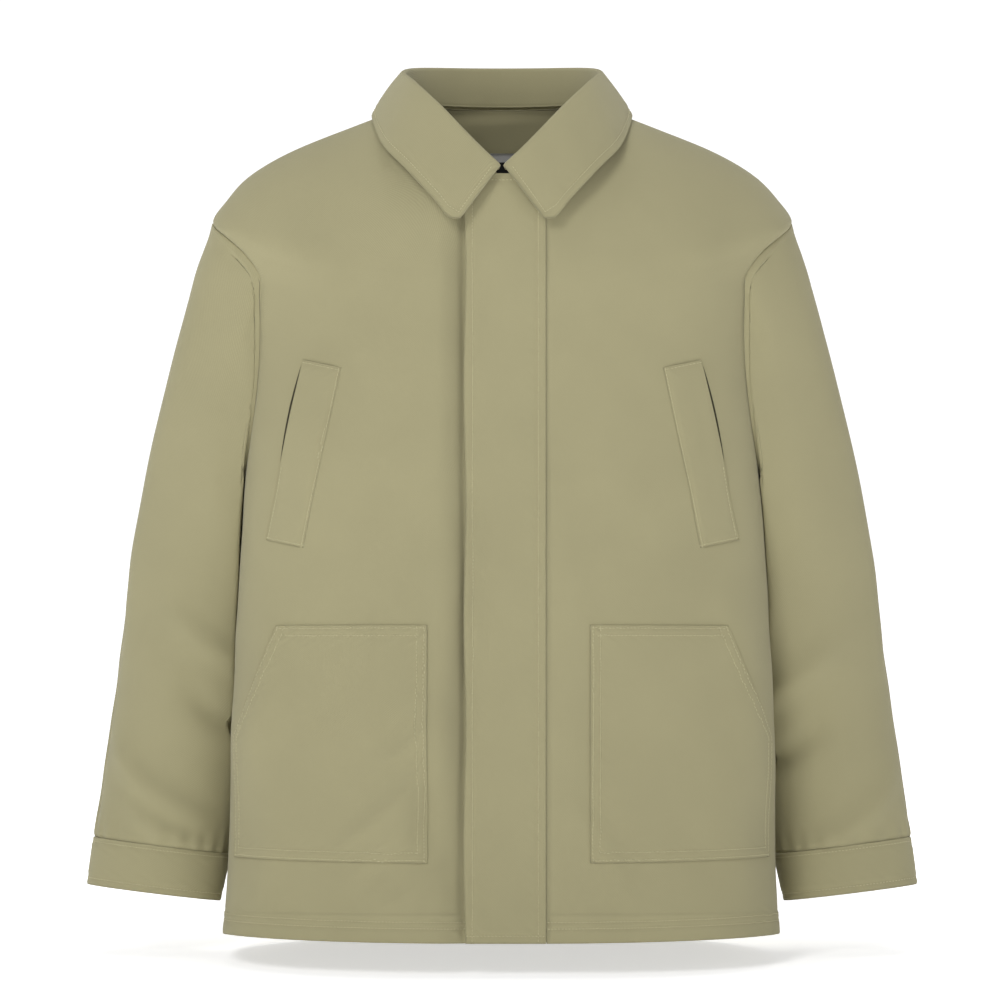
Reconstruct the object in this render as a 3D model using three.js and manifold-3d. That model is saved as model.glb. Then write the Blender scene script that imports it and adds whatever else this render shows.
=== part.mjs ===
// A work jacket with a fold-down collar, a zip under a storm flap, two slanted chest pockets and two
// patch pockets, standing in the shape that it has on a wearer.
// Millimetres. +Z up, +X to the wearer's left, -Y to the front. The origin is midway between the two
// points where the shoulder seams meet the collar.
import * as THREE from "three";
import { mergeVertices } from "three/addons/utils/BufferGeometryUtils.js";
import Module from "manifold-3d";

// ---- Driving dimensions ----
const BODY_LENGTH = 766; // neck point of the shoulder down to the hem
const HEM_HALF_WIDTH = 256;
const HEM_SIDE_RISE = 6; // the hem stands this much higher at the sides
const CHEST_HALF_WIDTH = 235; // at the underarm
const SHOULDER_HALF_WIDTH = 266; // to the end of the dropped shoulder
const SHOULDER_DROP = 109; // neck point down to the end of the shoulder seam
const ARMHOLE_DEPTH = 232; // end of the shoulder seam down to the underarm
const NECK_HALF_WIDTH = 84;
const FRONT_NECK_DROP = 64;
const BACK_NECK_RISE = -2;
const FRONT_NECK_DEPTH = 87; // centre front of the neck, forward of the origin
const FRONT_HEM_DEPTH = 132; // centre front of the hem, forward of the origin
const BACK_NECK_DEPTH = 66;
const BACK_HEM_DEPTH = 112;
const SLEEVE_DROP = 608; // end of the shoulder seam down to the outer end of the cuff
const SLEEVE_SPREAD = 115; // how far out the sleeve goes over that drop
const SLEEVE_HALF_WIDTH = 72; // at the elbow
const SLEEVE_HALF_DEPTH = 54;
const CUFF_HALF_WIDTH = 60;
const CUFF_HALF_DEPTH = 38;
const CUFF_HEIGHT = 44;
const FLAP_WIDTH = 74;
const FLAP_SEAM_X = 40; // the flap is sewn here, on the wearer's left
const FLAP_HEAD_DROP = 110; // the flap is caught under the collar down to here
const ZIP_X = 2; // the zip's line, under the flap
const COLLAR_STAND = 41; // at the centre back
const COLLAR_FALL = 80; // at the centre back
const COLLAR_POINT_X = 38;
const COLLAR_POINT_DROP = 106.5; // collar point below the origin
const NECK_FACING_DEPTH = 100;
const LABEL_WIDTH = 50;
const LABEL_HEIGHT = 36;
const LABEL_DROP = 42; // top of the label below the origin
const POCKET_INNER_X = { right: 68, left: 80 };
const POCKET_TOP_OUTER_X = 205;
const POCKET_BASE_OUTER_X = 250;
const POCKET_HEIGHT = 211;
const POCKET_HEM_GAP = 77; // hem up to the pocket's lower edge
const POCKET_SLANT_HEIGHT = 124; // height of the slanted hand opening
const WELT_LENGTH = 168;
const WELT_WIDTH = 36;
const WELT_TOP_X = 181.5;
const WELT_TOP_DROP = 235; // top outer corner below the origin
const WELT_LEAN = 35; // how far out the lower end stands
const STUD_COUNT = 5;
const STUD_X = -20;
const FIRST_STUD_DROP = 150;
const LAST_STUD_HEM_GAP = 80;

// ---- Cloth and clearances ----
const CLOTH = 1.6; // shell cloth with its lining
const PLY = 1.2; // one ply of the collar, a facing or a pocket
const FLAP_CLOTH = 1.8;
const CUFF_CLOTH = 2.4;
const SEAM_GAP = 0.6;
const BEND_GAP = 1.2; // sleeve's head to the part of the sleeve that lifts
const LAYER_GAP = 0.8;
const UNDERLAP = 7; // how far the zip and what carries it lie below the flap
const BACKING_GAP = 2.2; // shell to the facings and pocket bags behind it
const SLEEVE_BEND_DROP = 290; // end of the shoulder seam down to where the sleeve bends as it lifts
const SLEEVE_CLEARANCE = 2.5; // sleeve to the side of the body
const SLEEVE_RAISE_CLEARANCE = 1.2; // sleeve head to the armhole's edge
const COLLAR_LIFT = 2.6; // collar's neck edge above the neck edge of the body

// ---- Zip and press studs ----
const ZIP_REVEAL = 7; // zip line to the cloth edges beside it
const ZIP_TOP_GAP = 10; // neck down to the top stops
const ZIP_BOTTOM_GAP = 24; // hem up to the foot of the zip
const TAPE_WIDTH = 16;
const TAPE_THICKNESS = 0.8;
const BEAD_WIDTH = 2.4;
const BEAD_DEPTH = 3;
const BEAD_GAP = 1.6; // between the two rows of teeth, where the slider's post runs
const STOP_HEIGHT = 4;
const SLIDER_LENGTH = 11;
const SLIDER_WIDTH = 9;
const SLIDER_PLATE = 1;
const SLIDER_POST = 0.9;
const RUNNING_GAP = 0.3;
const LUG_WIDTH = 2.6;
const LUG_HEIGHT = 2.6;
const LUG_LENGTH = 4;
const PIN_RADIUS = 0.55;
const TAB_LENGTH = 18;
const TAB_WIDTH = 6.4;
const TAB_THICKNESS = 1.2;
const BOX_HEIGHT = 8;
const BOX_WIDTH = 8;
const BOX_WALL = 1; // in front of and behind the teeth
const BOX_FLOOR = 2;
const PIN_PLAY = 0.6; // pin to the faces of the box, in front and behind
const SOCKET_RADIUS = 6.5;
const SOCKET_HEIGHT = 2;
const SOCKET_FLOOR = 0.4;
const STUD_RADIUS = 5.5;
const STUD_BASE = 1.2;
const STUD_POST_RADIUS = 1.8;
const STUD_POST_HEIGHT = 2.6;
const STUD_CLEARANCE = 0.5;

const SHOULDER_Z = -SHOULDER_DROP;
const UNDERARM_Z = SHOULDER_Z - ARMHOLE_DEPTH;
const HEM_Z = -BODY_LENGTH;
const HEM_SIDE_Z = HEM_Z + HEM_SIDE_RISE;
const DEGREE = Math.PI / 180;

const wasm = await Module();
wasm.setup();

// ---- Helpers ----
const mix = (a, b, t) => a + (b - a) * t;
const clamp01 = (t) => Math.min(1, Math.max(0, t));
const ease = (a, b, x) => {
  const t = clamp01((x - a) / (b - a));
  return t * t * (3 - 2 * t);
};

// A smooth curve through [place, value] pairs, given in rising order of place.
function curve(keys) {
  const slope = (i) => {
    const a = keys[Math.max(i - 1, 0)];
    const b = keys[Math.min(i + 1, keys.length - 1)];
    return (b[1] - a[1]) / (b[0] - a[0]);
  };
  return (x) => {
    if (x <= keys[0][0]) return keys[0][1];
    if (x >= keys[keys.length - 1][0]) return keys[keys.length - 1][1];
    const i = keys.findIndex((key) => key[0] > x) - 1;
    const [x0, y0] = keys[i];
    const [x1, y1] = keys[i + 1];
    const h = x1 - x0;
    const t = (x - x0) / h;
    return (
      y0 * (1 + 2 * t) * (1 - t) ** 2 +
      y1 * t * t * (3 - 2 * t) +
      h * (slope(i) * t * (1 - t) ** 2 - slope(i + 1) * t * t * (1 - t))
    );
  };
}

// The unit normal of a surface map(u, v), along du x dv.
function normalOf(map, u, v) {
  const step = 1e-3;
  const du = map(Math.min(u + step, 1), v).sub(map(Math.max(u - step, 0), v));
  const dv = map(u, Math.min(v + step, 1)).sub(map(u, Math.max(v - step, 0)));
  return du.cross(dv).normalize();
}

// A closed sheet of cloth around the surface map(u, v): its faces stand inner and outer millimetres off
// it along the normal. wraps joins u = 1 to u = 0.
function sheet(map, columns, rows, inner, outer, wraps = false) {
  const across = wraps ? columns : columns + 1;
  const perFace = across * (rows + 1);
  const positions = [];
  for (const offset of [outer, inner])
    for (let j = 0; j <= rows; j++)
      for (let i = 0; i < across; i++) {
        const u = i / columns;
        const v = j / rows;
        const distance = typeof offset === "function" ? offset(u, v) : offset;
        positions.push(...map(u, v).addScaledVector(normalOf(map, u, v), distance).toArray());
      }
  const index = [];
  const at = (face, i, j) => face * perFace + j * across + (wraps ? i % columns : i);
  const quad = (a, b, c, d) => index.push(a, b, c, a, c, d);
  for (let j = 0; j < rows; j++)
    for (let i = 0; i < columns; i++) {
      quad(at(0, i, j), at(0, i + 1, j), at(0, i + 1, j + 1), at(0, i, j + 1));
      quad(at(1, i, j), at(1, i, j + 1), at(1, i + 1, j + 1), at(1, i + 1, j));
    }
  for (let i = 0; i < columns; i++) {
    quad(at(1, i, 0), at(1, i + 1, 0), at(0, i + 1, 0), at(0, i, 0));
    quad(at(0, i, rows), at(0, i + 1, rows), at(1, i + 1, rows), at(1, i, rows));
  }
  for (let j = 0; j < rows && !wraps; j++) {
    quad(at(1, 0, j + 1), at(1, 0, j), at(0, 0, j), at(0, 0, j + 1));
    quad(at(0, columns, j + 1), at(0, columns, j), at(1, columns, j), at(1, columns, j + 1));
  }
  const geometry = new THREE.BufferGeometry();
  geometry.setAttribute("position", new THREE.Float32BufferAttribute(positions, 3));
  geometry.setIndex(index);
  geometry.computeVertexNormals();
  return geometry;
}

function toSolid(geometry) {
  const bare = geometry.clone();
  bare.deleteAttribute("normal");
  bare.deleteAttribute("uv");
  const merged = mergeVertices(bare, 1e-4);
  return new wasm.Manifold(
    new wasm.Mesh({
      numProp: 3,
      vertProperties: merged.attributes.position.array,
      triVerts: new Uint32Array(merged.index.array),
    }),
  );
}

function toGeometry(solid) {
  const mesh = solid.getMesh();
  const geometry = new THREE.BufferGeometry();
  geometry.setAttribute("position", new THREE.BufferAttribute(mesh.vertProperties, 3));
  geometry.setIndex(new THREE.BufferAttribute(mesh.triVerts, 1));
  geometry.computeVertexNormals();
  return geometry;
}

const cut = (geometry, ...tools) =>
  toGeometry(tools.reduce((solid, tool) => solid.subtract(toSolid(tool)), toSolid(geometry)));
const join = (...geometries) =>
  toGeometry(geometries.map(toSolid).reduce((solid, other) => solid.add(other)));

// The same solid on the wearer's other side.
function mirrored(geometry) {
  const copy = geometry.clone().scale(-1, 1, 1);
  const index = Array.from(copy.index.array);
  for (let i = 0; i < index.length; i += 3) [index[i + 1], index[i + 2]] = [index[i + 2], index[i + 1]];
  copy.setIndex(index);
  copy.computeVertexNormals();
  return copy;
}

const box = (width, depth, height, x, y, z) =>
  new THREE.BoxGeometry(width, depth, height).translate(x, y, z);

// ---- The body's surface ----
// Each row round the body is named by the height that it has at the side.
const sideHalfWidth = curve([
  [HEM_Z, HEM_HALF_WIDTH],
  [UNDERARM_Z, CHEST_HALF_WIDTH],
  [mix(UNDERARM_Z, SHOULDER_Z, 0.45), CHEST_HALF_WIDTH - 6],
  [mix(UNDERARM_Z, SHOULDER_Z, 0.78), mix(CHEST_HALF_WIDTH, SHOULDER_HALF_WIDTH, 0.1)],
  [mix(UNDERARM_Z, SHOULDER_Z, 0.9), mix(CHEST_HALF_WIDTH, SHOULDER_HALF_WIDTH, 0.56)],
  [SHOULDER_Z, SHOULDER_HALF_WIDTH],
  [SHOULDER_Z * 0.8, mix(NECK_HALF_WIDTH, SHOULDER_HALF_WIDTH, 0.926)],
  [SHOULDER_Z * 0.595, mix(NECK_HALF_WIDTH, SHOULDER_HALF_WIDTH, 0.805)],
  [SHOULDER_Z * 0.39, mix(NECK_HALF_WIDTH, SHOULDER_HALF_WIDTH, 0.593)],
  [SHOULDER_Z * 0.19, mix(NECK_HALF_WIDTH, SHOULDER_HALF_WIDTH, 0.3)],
  [0, NECK_HALF_WIDTH],
]);
const frontHeight = curve([
  [HEM_SIDE_Z, HEM_Z],
  [UNDERARM_Z, UNDERARM_Z],
  [mix(UNDERARM_Z, SHOULDER_Z, 0.6), mix(UNDERARM_Z, -FRONT_NECK_DROP, 0.41)],
  [SHOULDER_Z, mix(UNDERARM_Z, -FRONT_NECK_DROP, 0.67)],
  [SHOULDER_Z * 0.58, mix(UNDERARM_Z, -FRONT_NECK_DROP, 0.77)],
  [SHOULDER_Z * 0.14, mix(UNDERARM_Z, -FRONT_NECK_DROP, 0.94)],
  [0, -FRONT_NECK_DROP],
]);
const backHeight = curve([
  [HEM_SIDE_Z, HEM_Z],
  [UNDERARM_Z, UNDERARM_Z],
  [SHOULDER_Z, SHOULDER_Z - 8],
  [SHOULDER_Z * 0.58, SHOULDER_Z * 0.6],
  [SHOULDER_Z * 0.14, SHOULDER_Z * 0.1],
  [0, BACK_NECK_RISE],
]);
const backDepth = curve([
  [HEM_Z, BACK_HEM_DEPTH],
  [UNDERARM_Z, BACK_HEM_DEPTH - 5],
  [mix(UNDERARM_Z, SHOULDER_Z, 0.6), BACK_HEM_DEPTH - 7],
  [SHOULDER_Z, mix(BACK_NECK_DEPTH, BACK_HEM_DEPTH, 0.57)],
  [SHOULDER_Z * 0.58, mix(BACK_NECK_DEPTH, BACK_HEM_DEPTH, 0.39)],
  [0, BACK_NECK_DEPTH],
]);
const widestDepth = curve([
  [HEM_Z, -30],
  [UNDERARM_Z, -18],
  [mix(UNDERARM_Z, SHOULDER_Z, 0.6), -8],
  [SHOULDER_Z, 0],
  [0, 2],
]);
const frontFullness = curve([
  [HEM_Z, 2.6],
  [UNDERARM_Z, 2.6],
  [SHOULDER_Z, 2.15],
  [0, 2],
]);
const backFullness = curve([
  [HEM_Z, 2.3],
  [UNDERARM_Z, 2.3],
  [SHOULDER_Z, 2.1],
  [0, 2],
]);

// The centre front is one straight line, so that the flap can hinge and the slider can slide on it.
const FRONT_SLOPE = (FRONT_HEM_DEPTH - FRONT_NECK_DEPTH) / (BODY_LENGTH - FRONT_NECK_DROP);
const frontLineY = (z) => -FRONT_NECK_DEPTH + FRONT_SLOPE * (z + FRONT_NECK_DROP);
const FRONT_TILT = Math.atan(FRONT_SLOPE);

// A point on the body. angle is 0 at the centre front and pi at the centre back; row is the side height.
function body(angle, row) {
  const side = sideHalfWidth(row);
  const widest = widestDepth(row);
  const atFront = angle < Math.PI / 2;
  const power = 2 / (atFront ? frontFullness(row) : backFullness(row));
  const along = Math.abs(Math.sin(angle)) ** power * Math.sign(Math.sin(angle));
  const level = Math.cos(angle) ** 2;
  const z = mix(row, atFront ? frontHeight(row) : backHeight(row), level);
  const centre = atFront ? frontLineY(frontHeight(row)) : backDepth(row);
  const y = widest + (centre - widest) * Math.abs(Math.cos(angle)) ** power;
  return new THREE.Vector3(side * along, y, z);
}

// The angle at which the row reaches x on the front.
const angleAt = (x, row) =>
  Math.asin(Math.min(1, Math.abs(x) / sideHalfWidth(row)) ** (frontFullness(row) / 2)) * Math.sign(x);

// A point on the front by its x and height.
function front(x, z) {
  let row = z;
  for (let i = 0; i < 12; i++) {
    const level = Math.cos(angleAt(x, row)) ** 2;
    row -= mix(row, frontHeight(row), level) - z;
    row = Math.min(row, 0);
  }
  return body(angleAt(x, row), row);
}

// A point on the back by its x on a row.
function back(x, row) {
  const turn = Math.asin(Math.min(1, Math.abs(x) / sideHalfWidth(row)) ** (backFullness(row) / 2));
  const point = body(Math.PI - turn, row);
  point.x *= Math.sign(x);
  return point;
}

const STEEPEST = 3; // limit on how far a clearance is stretched where the body turns away
// The x that stands clear of the body's side by a distance at a depth y and height z, or 0 where the
// body doesn't reach that depth.
function besideBody(y, z, distance) {
  let clear = 0;
  let row = z;
  for (let i = 0; i < 8; i++) {
    const widest = widestDepth(row);
    const forward = y < widest;
    const level = forward ? frontHeight(row) : backHeight(row);
    const reach = Math.abs((forward ? frontLineY(level) : backDepth(row)) - widest);
    const power = forward ? frontFullness(row) : backFullness(row);
    const share = Math.abs(y - widest) / reach;
    if (share >= 1) return 0;
    const width = sideHalfWidth(row);
    const across = (1 - share ** power) ** (1 / power);
    const steepness = ((share / across) ** (power - 1) * width) / reach;
    clear = width * across + distance * Math.min(Math.hypot(1, steepness), STEEPEST);
    row = Math.min(row + z - mix(row, level, share ** power), 0);
  }
  return clear;
}

// ---- Seams: the side seam, the armhole and the shoulder seam, as angles on each row ----
const SIDE_SEAM = 95;
const armholeShare = (row) => (row - UNDERARM_Z) / ARMHOLE_DEPTH;
const frontArmhole = curve([
  [0, SIDE_SEAM],
  [0.05, 87],
  [0.2, 80],
  [0.45, 75],
  [0.7, 70],
  [0.85, 67],
  [0.95, 75],
  [1, 90],
]);
const backArmhole = curve([
  [0, SIDE_SEAM],
  [0.05, 104],
  [0.2, 114],
  [0.45, 120],
  [0.7, 118],
  [0.85, 113],
  [0.95, 103],
  [1, 90],
]);
const frontEdge = (row) => frontArmhole(armholeShare(row)) * DEGREE;
const backEdge = (row) => backArmhole(armholeShare(row)) * DEGREE;

// Rows from hem to neck, closer together round the armhole and over the shoulder.
const ROW_KEYS = curve([
  [0, HEM_SIDE_Z],
  [0.3, mix(HEM_Z, UNDERARM_Z, 0.6)],
  [0.48, UNDERARM_Z],
  [0.54, mix(UNDERARM_Z, SHOULDER_Z, 0.14)],
  [0.66, mix(UNDERARM_Z, SHOULDER_Z, 0.8)],
  [0.74, mix(UNDERARM_Z, SHOULDER_Z, 0.95)],
  [0.8, SHOULDER_Z],
  [0.88, SHOULDER_Z * 0.6],
  [1, 0],
]);
const BODY_ROWS = 19;
const gapAngle = (row) => SEAM_GAP / 2 / sideHalfWidth(row);

// ---- Front panels ----
// The wearer's right front dips under the flap, and so does all that carries the zip.
const FLAP_EDGE_X = FLAP_SEAM_X - FLAP_WIDTH;
const DIP_START_X = FLAP_EDGE_X - 30;
const rightDip = (x) => UNDERLAP * ease(DIP_START_X, FLAP_EDGE_X + 4, x);
const RIGHT_EDGE_X = ZIP_X - ZIP_REVEAL;
const LEFT_EDGE_X = ZIP_X + ZIP_REVEAL;
const RIGHT_COLUMNS = 11;
const LEFT_COLUMNS = 9;
const FLAT_COLUMNS = 6; // columns from the side seam to where the dip starts

function rightFrontMap(u, v) {
  const row = ROW_KEYS(v);
  const split = FLAT_COLUMNS / RIGHT_COLUMNS;
  const inDip = clamp01((u - split) / (1 - split));
  const dipAngle = angleAt(-mix(DIP_START_X, RIGHT_EDGE_X, inDip), row);
  const sideAngle = frontEdge(row) - gapAngle(row);
  const point = body(u < split ? mix(sideAngle, dipAngle, u / split) : dipAngle, row);
  point.x *= -1;
  point.y += rightDip(point.x);
  return point;
}

function leftFrontMap(u, v) {
  const row = ROW_KEYS(v);
  const start = angleAt(FLAP_SEAM_X + SEAM_GAP, row);
  return body(mix(start, frontEdge(row) - gapAngle(row), u), row);
}

function backMap(u, v) {
  const row = ROW_KEYS(v);
  const start = backEdge(row) + gapAngle(row);
  const turn = mix(start, 2 * Math.PI - start, u);
  const point = body(turn > Math.PI ? 2 * Math.PI - turn : turn, row);
  if (turn > Math.PI) point.x *= -1;
  return point;
}

// A strip of the front between two x values and two heights, set back by dip(x).
const strip = (x0, x1, z0, z1, dip = () => 0) => (u, v) => {
  const point = front(mix(x0, x1, u), mix(z0, z1, v));
  point.y += dip(point.x);
  return point;
};
const shellSheet = (map, columns, rows) => sheet(map, columns, rows, -CLOTH / 2, CLOTH / 2);

// ---- Chest pockets, on the wearer's left ----
const WELT_TILT = Math.atan(WELT_LEAN / WELT_LENGTH);
// along runs down the welt from 0 to 1, and across runs inwards from its outer edge in millimetres.
const weltPoint = (along, across) => [
  WELT_TOP_X + WELT_LEAN * along - across * Math.cos(WELT_TILT),
  -WELT_TOP_DROP - WELT_LENGTH * Math.cos(WELT_TILT) * along - across * Math.sin(WELT_TILT),
];
const weltPatch = (across0, across1, along0, along1) => (u, v) =>
  front(...weltPoint(mix(along0, along1, v), mix(across0, across1, u)));
const weltSheet = () =>
  sheet(weltPatch(WELT_WIDTH, 0, 1, 0), 3, 6, CLOTH / 2 + LAYER_GAP, CLOTH / 2 + LAYER_GAP + PLY);
const SLIT_INSET = 6; // from the welt's outer edge
const SLIT_WIDTH = 5.5;
const SLIT_END = 0.1; // share of the welt left uncut at each end
const SLIT_REACH = CLOTH + 3; // how far the cutting solid stands off the shell on each side
const slitPatch = weltPatch(SLIT_INSET + SLIT_WIDTH, SLIT_INSET, 1 - SLIT_END, SLIT_END);
const slitTool = () => sheet(slitPatch, 1, 6, -SLIT_REACH, SLIT_REACH);
const BAG_REACH = 92; // inwards from the welt's outer edge
const BAG_OVERRUN = 8; // past the welt's outer edge and its ends
const BAG_FULLNESS = 9;
const BAG_TOP = BAG_OVERRUN / WELT_LENGTH;
const BAG_TOP_OFFSET = -CLOTH / 2 - BACKING_GAP;
function bagSheet() {
  const map = weltPatch(BAG_REACH, -BAG_OVERRUN, 1 + 2 * BAG_TOP, -BAG_TOP);
  const hollow = (u, v) => BAG_FULLNESS * Math.sin(Math.PI * u ** 1.3) * Math.sin(Math.PI * v) ** 0.6;
  const face = (distance) => (u, v) => distance - hollow(u, v);
  return sheet(map, 8, 8, face(BAG_TOP_OFFSET - PLY), face(BAG_TOP_OFFSET));
}

// ---- Patch pockets ----
const POCKET_LOW_Z = HEM_Z + POCKET_HEM_GAP;
const POCKET_TOP_Z = POCKET_LOW_Z + POCKET_HEIGHT;
const SLANT_FOOT = 1 - POCKET_SLANT_HEIGHT / POCKET_HEIGHT; // share of the height below the hand opening
const POCKET_FULLNESS = 7;
const MOUTH_SPREAD = 0.62; // the pocket's fullness reaches the edge along the hand opening
const WRAP_LIMIT = 0.98; // share of the half width that the pocket wraps to
function pocketSheet(innerX) {
  const map = (u, v) => {
    const z = mix(POCKET_LOW_Z, POCKET_TOP_Z, v);
    const slant = clamp01((v - SLANT_FOOT) / (1 - SLANT_FOOT));
    const outer = mix(POCKET_BASE_OUTER_X, POCKET_TOP_OUTER_X, slant);
    const limit = sideHalfWidth(z) * WRAP_LIMIT;
    return body(mix(angleAt(innerX, z), angleAt(Math.min(outer, limit), z), u), z);
  };
  const full = (u, v) => {
    const mouth = Math.sin(Math.PI * clamp01((v - SLANT_FOOT) / (1 - SLANT_FOOT)));
    const across = Math.sin(Math.PI * u * mix(1, MOUTH_SPREAD, mouth));
    return POCKET_FULLNESS * across * Math.sin(Math.PI * v) ** 0.6;
  };
  const face = (distance) => (u, v) => distance + full(u, v);
  return sheet(map, 8, 8, face(CLOTH / 2 + LAYER_GAP), face(CLOTH / 2 + LAYER_GAP + PLY));
}

// ---- Sleeves, on the wearer's left ----
const CUFF_END = new THREE.Vector3(SHOULDER_HALF_WIDTH + SLEEVE_SPREAD, 0, SHOULDER_Z - SLEEVE_DROP);
const SLEEVE_SLOPE = SLEEVE_SPREAD / SLEEVE_DROP;
const RING_TILT = 7 * DEGREE; // the cuff's inner end hangs a little lower than its outer end
const HEAD_DROP = ARMHOLE_DEPTH * 0.5;
const HEAD_END = 0.42; // share of the sleeve over which the armhole's oval becomes the sleeve's own
const RING_LENGTH = SLEEVE_DROP - HEAD_DROP;
const SLEEVE_WAY = new THREE.Vector3(SLEEVE_SLOPE, 0, -1).normalize();
const sleeveHalfWidth = curve([
  [0, SLEEVE_HALF_WIDTH * 1.08],
  [0.4, SLEEVE_HALF_WIDTH],
  [1, CUFF_HALF_WIDTH],
]);
const sleeveHalfDepth = curve([
  [0, SLEEVE_HALF_DEPTH * 1.05],
  [0.45, SLEEVE_HALF_DEPTH * 0.96],
  [1, CUFF_HALF_DEPTH],
]);
const sleeveDepth = curve([
  [0, 10],
  [0.35, 32],
  [0.7, 34],
  [1, 22],
]);
const OUTER_BOW = 9;
const HEAD_BOW = 9; // the sleeve stands out below the end of the shoulder
const HEAD_BOW_S = 0.25;
const HEAD_BOW_REACH = 0.22;

// The armhole as a loop: turn 0 is the end of the shoulder seam, 1/4 the front and 1/2 the underarm.
function armhole(turn) {
  const row = mix(UNDERARM_Z, SHOULDER_Z, (1 + Math.cos(2 * Math.PI * turn)) / 2);
  return body(turn < 0.5 ? frontEdge(row) : backEdge(row), row);
}

// A point on the sleeve: s runs from 0 at the armhole to 1 at the end of the cuff.
function sleeve(turn, s) {
  const head = armhole(turn).addScaledVector(SLEEVE_WAY, SLEEVE_RAISE_CLEARANCE + RING_LENGTH * 0.7 * s);
  const half = sleeveHalfWidth(s);
  const z = SHOULDER_Z - HEAD_DROP - RING_LENGTH * s;
  const outerX = CUFF_END.x - (z - CUFF_END.z) * SLEEVE_SLOPE + OUTER_BOW * Math.sin(Math.PI * s);
  const across = Math.cos(2 * Math.PI * turn);
  const ring = new THREE.Vector3(
    outerX + half * (across - 1),
    sleeveDepth(s) - sleeveHalfDepth(s) * Math.sin(2 * Math.PI * turn),
    z + half * (across - 1) * Math.tan(RING_TILT),
  );
  const point = head.lerp(ring, ease(0, HEAD_END, s));
  const bow = HEAD_BOW * Math.exp(-(((s - HEAD_BOW_S) / HEAD_BOW_REACH) ** 2)) * ease(0, 0.1, s);
  point.x += (bow * (1 + across)) / 2;
  const clear = besideBody(point.y, point.z, SLEEVE_CLEARANCE + CLOTH);
  const fromTop = Math.min(turn, 1 - turn);
  const pressed = Math.max(ease(0.02, 0.11, fromTop), ease(0, 0.08, s));
  point.x = Math.max(point.x, mix(point.x, clear, pressed));
  return point;
}
const CUFF_START = 1 - CUFF_HEIGHT / RING_LENGTH;
const alongSleeve = (s0, s1) => (u, v) => sleeve(1 - u, mix(s1, s0, v));
const SLEEVE_COLUMNS = 24;
const BEND_S = (SLEEVE_BEND_DROP - HEAD_DROP) / RING_LENGTH;
const sleeveTube = (s0, s1, rows) =>
  sheet(alongSleeve(s0, s1), SLEEVE_COLUMNS, rows, -CLOTH / 2, CLOTH / 2, true);
const sleeveHeadSheet = () => sleeveTube(0, BEND_S - BEND_GAP / RING_LENGTH, 8);
const sleeveSheet = () => sleeveTube(BEND_S, CUFF_START, 8);
const cuffSheet = () =>
  sheet(
    alongSleeve(CUFF_START + SEAM_GAP / RING_LENGTH, 1),
    SLEEVE_COLUMNS,
    2,
    -CUFF_CLOTH / 2,
    CUFF_CLOTH / 2,
    true,
  );

// ---- Collar: turn runs from -1, the wearer's right end, through 0, the centre back, to 1 ----
const FOLD_SIDE_X = NECK_HALF_WIDTH + 6;
const FOLD_FRONT_Z = -FRONT_NECK_DROP + 6;
const FOLD_TOP_Z = BACK_NECK_RISE + COLLAR_STAND;
const FALL_SIDE_Z = -8;
const FALL_SIDE_X = NECK_HALF_WIDTH + 35;
const foldX = curve([
  [0, 0],
  [0.15, FOLD_SIDE_X * 0.46],
  [0.3, FOLD_SIDE_X * 0.84],
  [0.5, FOLD_SIDE_X],
  [0.66, FOLD_SIDE_X * 0.88],
  [0.8, FOLD_SIDE_X * 0.61],
  [0.92, FOLD_SIDE_X * 0.26],
  [1, 1.4],
]);
const foldY = curve([
  [0, BACK_NECK_DEPTH + 8],
  [0.15, BACK_NECK_DEPTH + 1],
  [0.3, BACK_NECK_DEPTH * 0.66],
  [0.5, 0],
  [0.66, -FRONT_NECK_DEPTH * 0.5],
  [0.8, -FRONT_NECK_DEPTH * 0.82],
  [0.92, -FRONT_NECK_DEPTH - 3],
  [1, -FRONT_NECK_DEPTH - 9],
]);
// A share of the rise from the front end of the fold to its height at the back.
const foldRise = (share) => mix(FOLD_FRONT_Z, FOLD_TOP_Z, share);
const foldZ = curve([
  [0, FOLD_TOP_Z],
  [0.3, foldRise(0.99)],
  [0.5, foldRise(0.93)],
  [0.66, foldRise(0.82)],
  [0.8, foldRise(0.58)],
  [0.92, foldRise(0.23)],
  [1, FOLD_FRONT_Z],
]);
const fallX = curve([
  [0, 0],
  [0.15, (NECK_HALF_WIDTH + 12) * 0.54],
  [0.3, NECK_HALF_WIDTH + 12],
  [0.5, FALL_SIDE_X],
  [0.66, mix(COLLAR_POINT_X, FALL_SIDE_X, 0.88)],
  [0.8, mix(COLLAR_POINT_X, FALL_SIDE_X, 0.59)],
  [0.92, mix(COLLAR_POINT_X, FALL_SIDE_X, 0.27)],
  [0.97, mix(COLLAR_POINT_X, FALL_SIDE_X, 0.13)],
  [1, COLLAR_POINT_X],
]);
const fallY = curve([
  [0, BACK_NECK_DEPTH + 36],
  [0.15, BACK_NECK_DEPTH + 32],
  [0.3, BACK_NECK_DEPTH + 14],
  [0.5, 4],
  [0.66, -FRONT_NECK_DEPTH * 0.68],
  [0.8, -FRONT_NECK_DEPTH - 2],
  [0.92, -FRONT_NECK_DEPTH - 13],
  [1, -FRONT_NECK_DEPTH - 17],
]);
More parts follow.
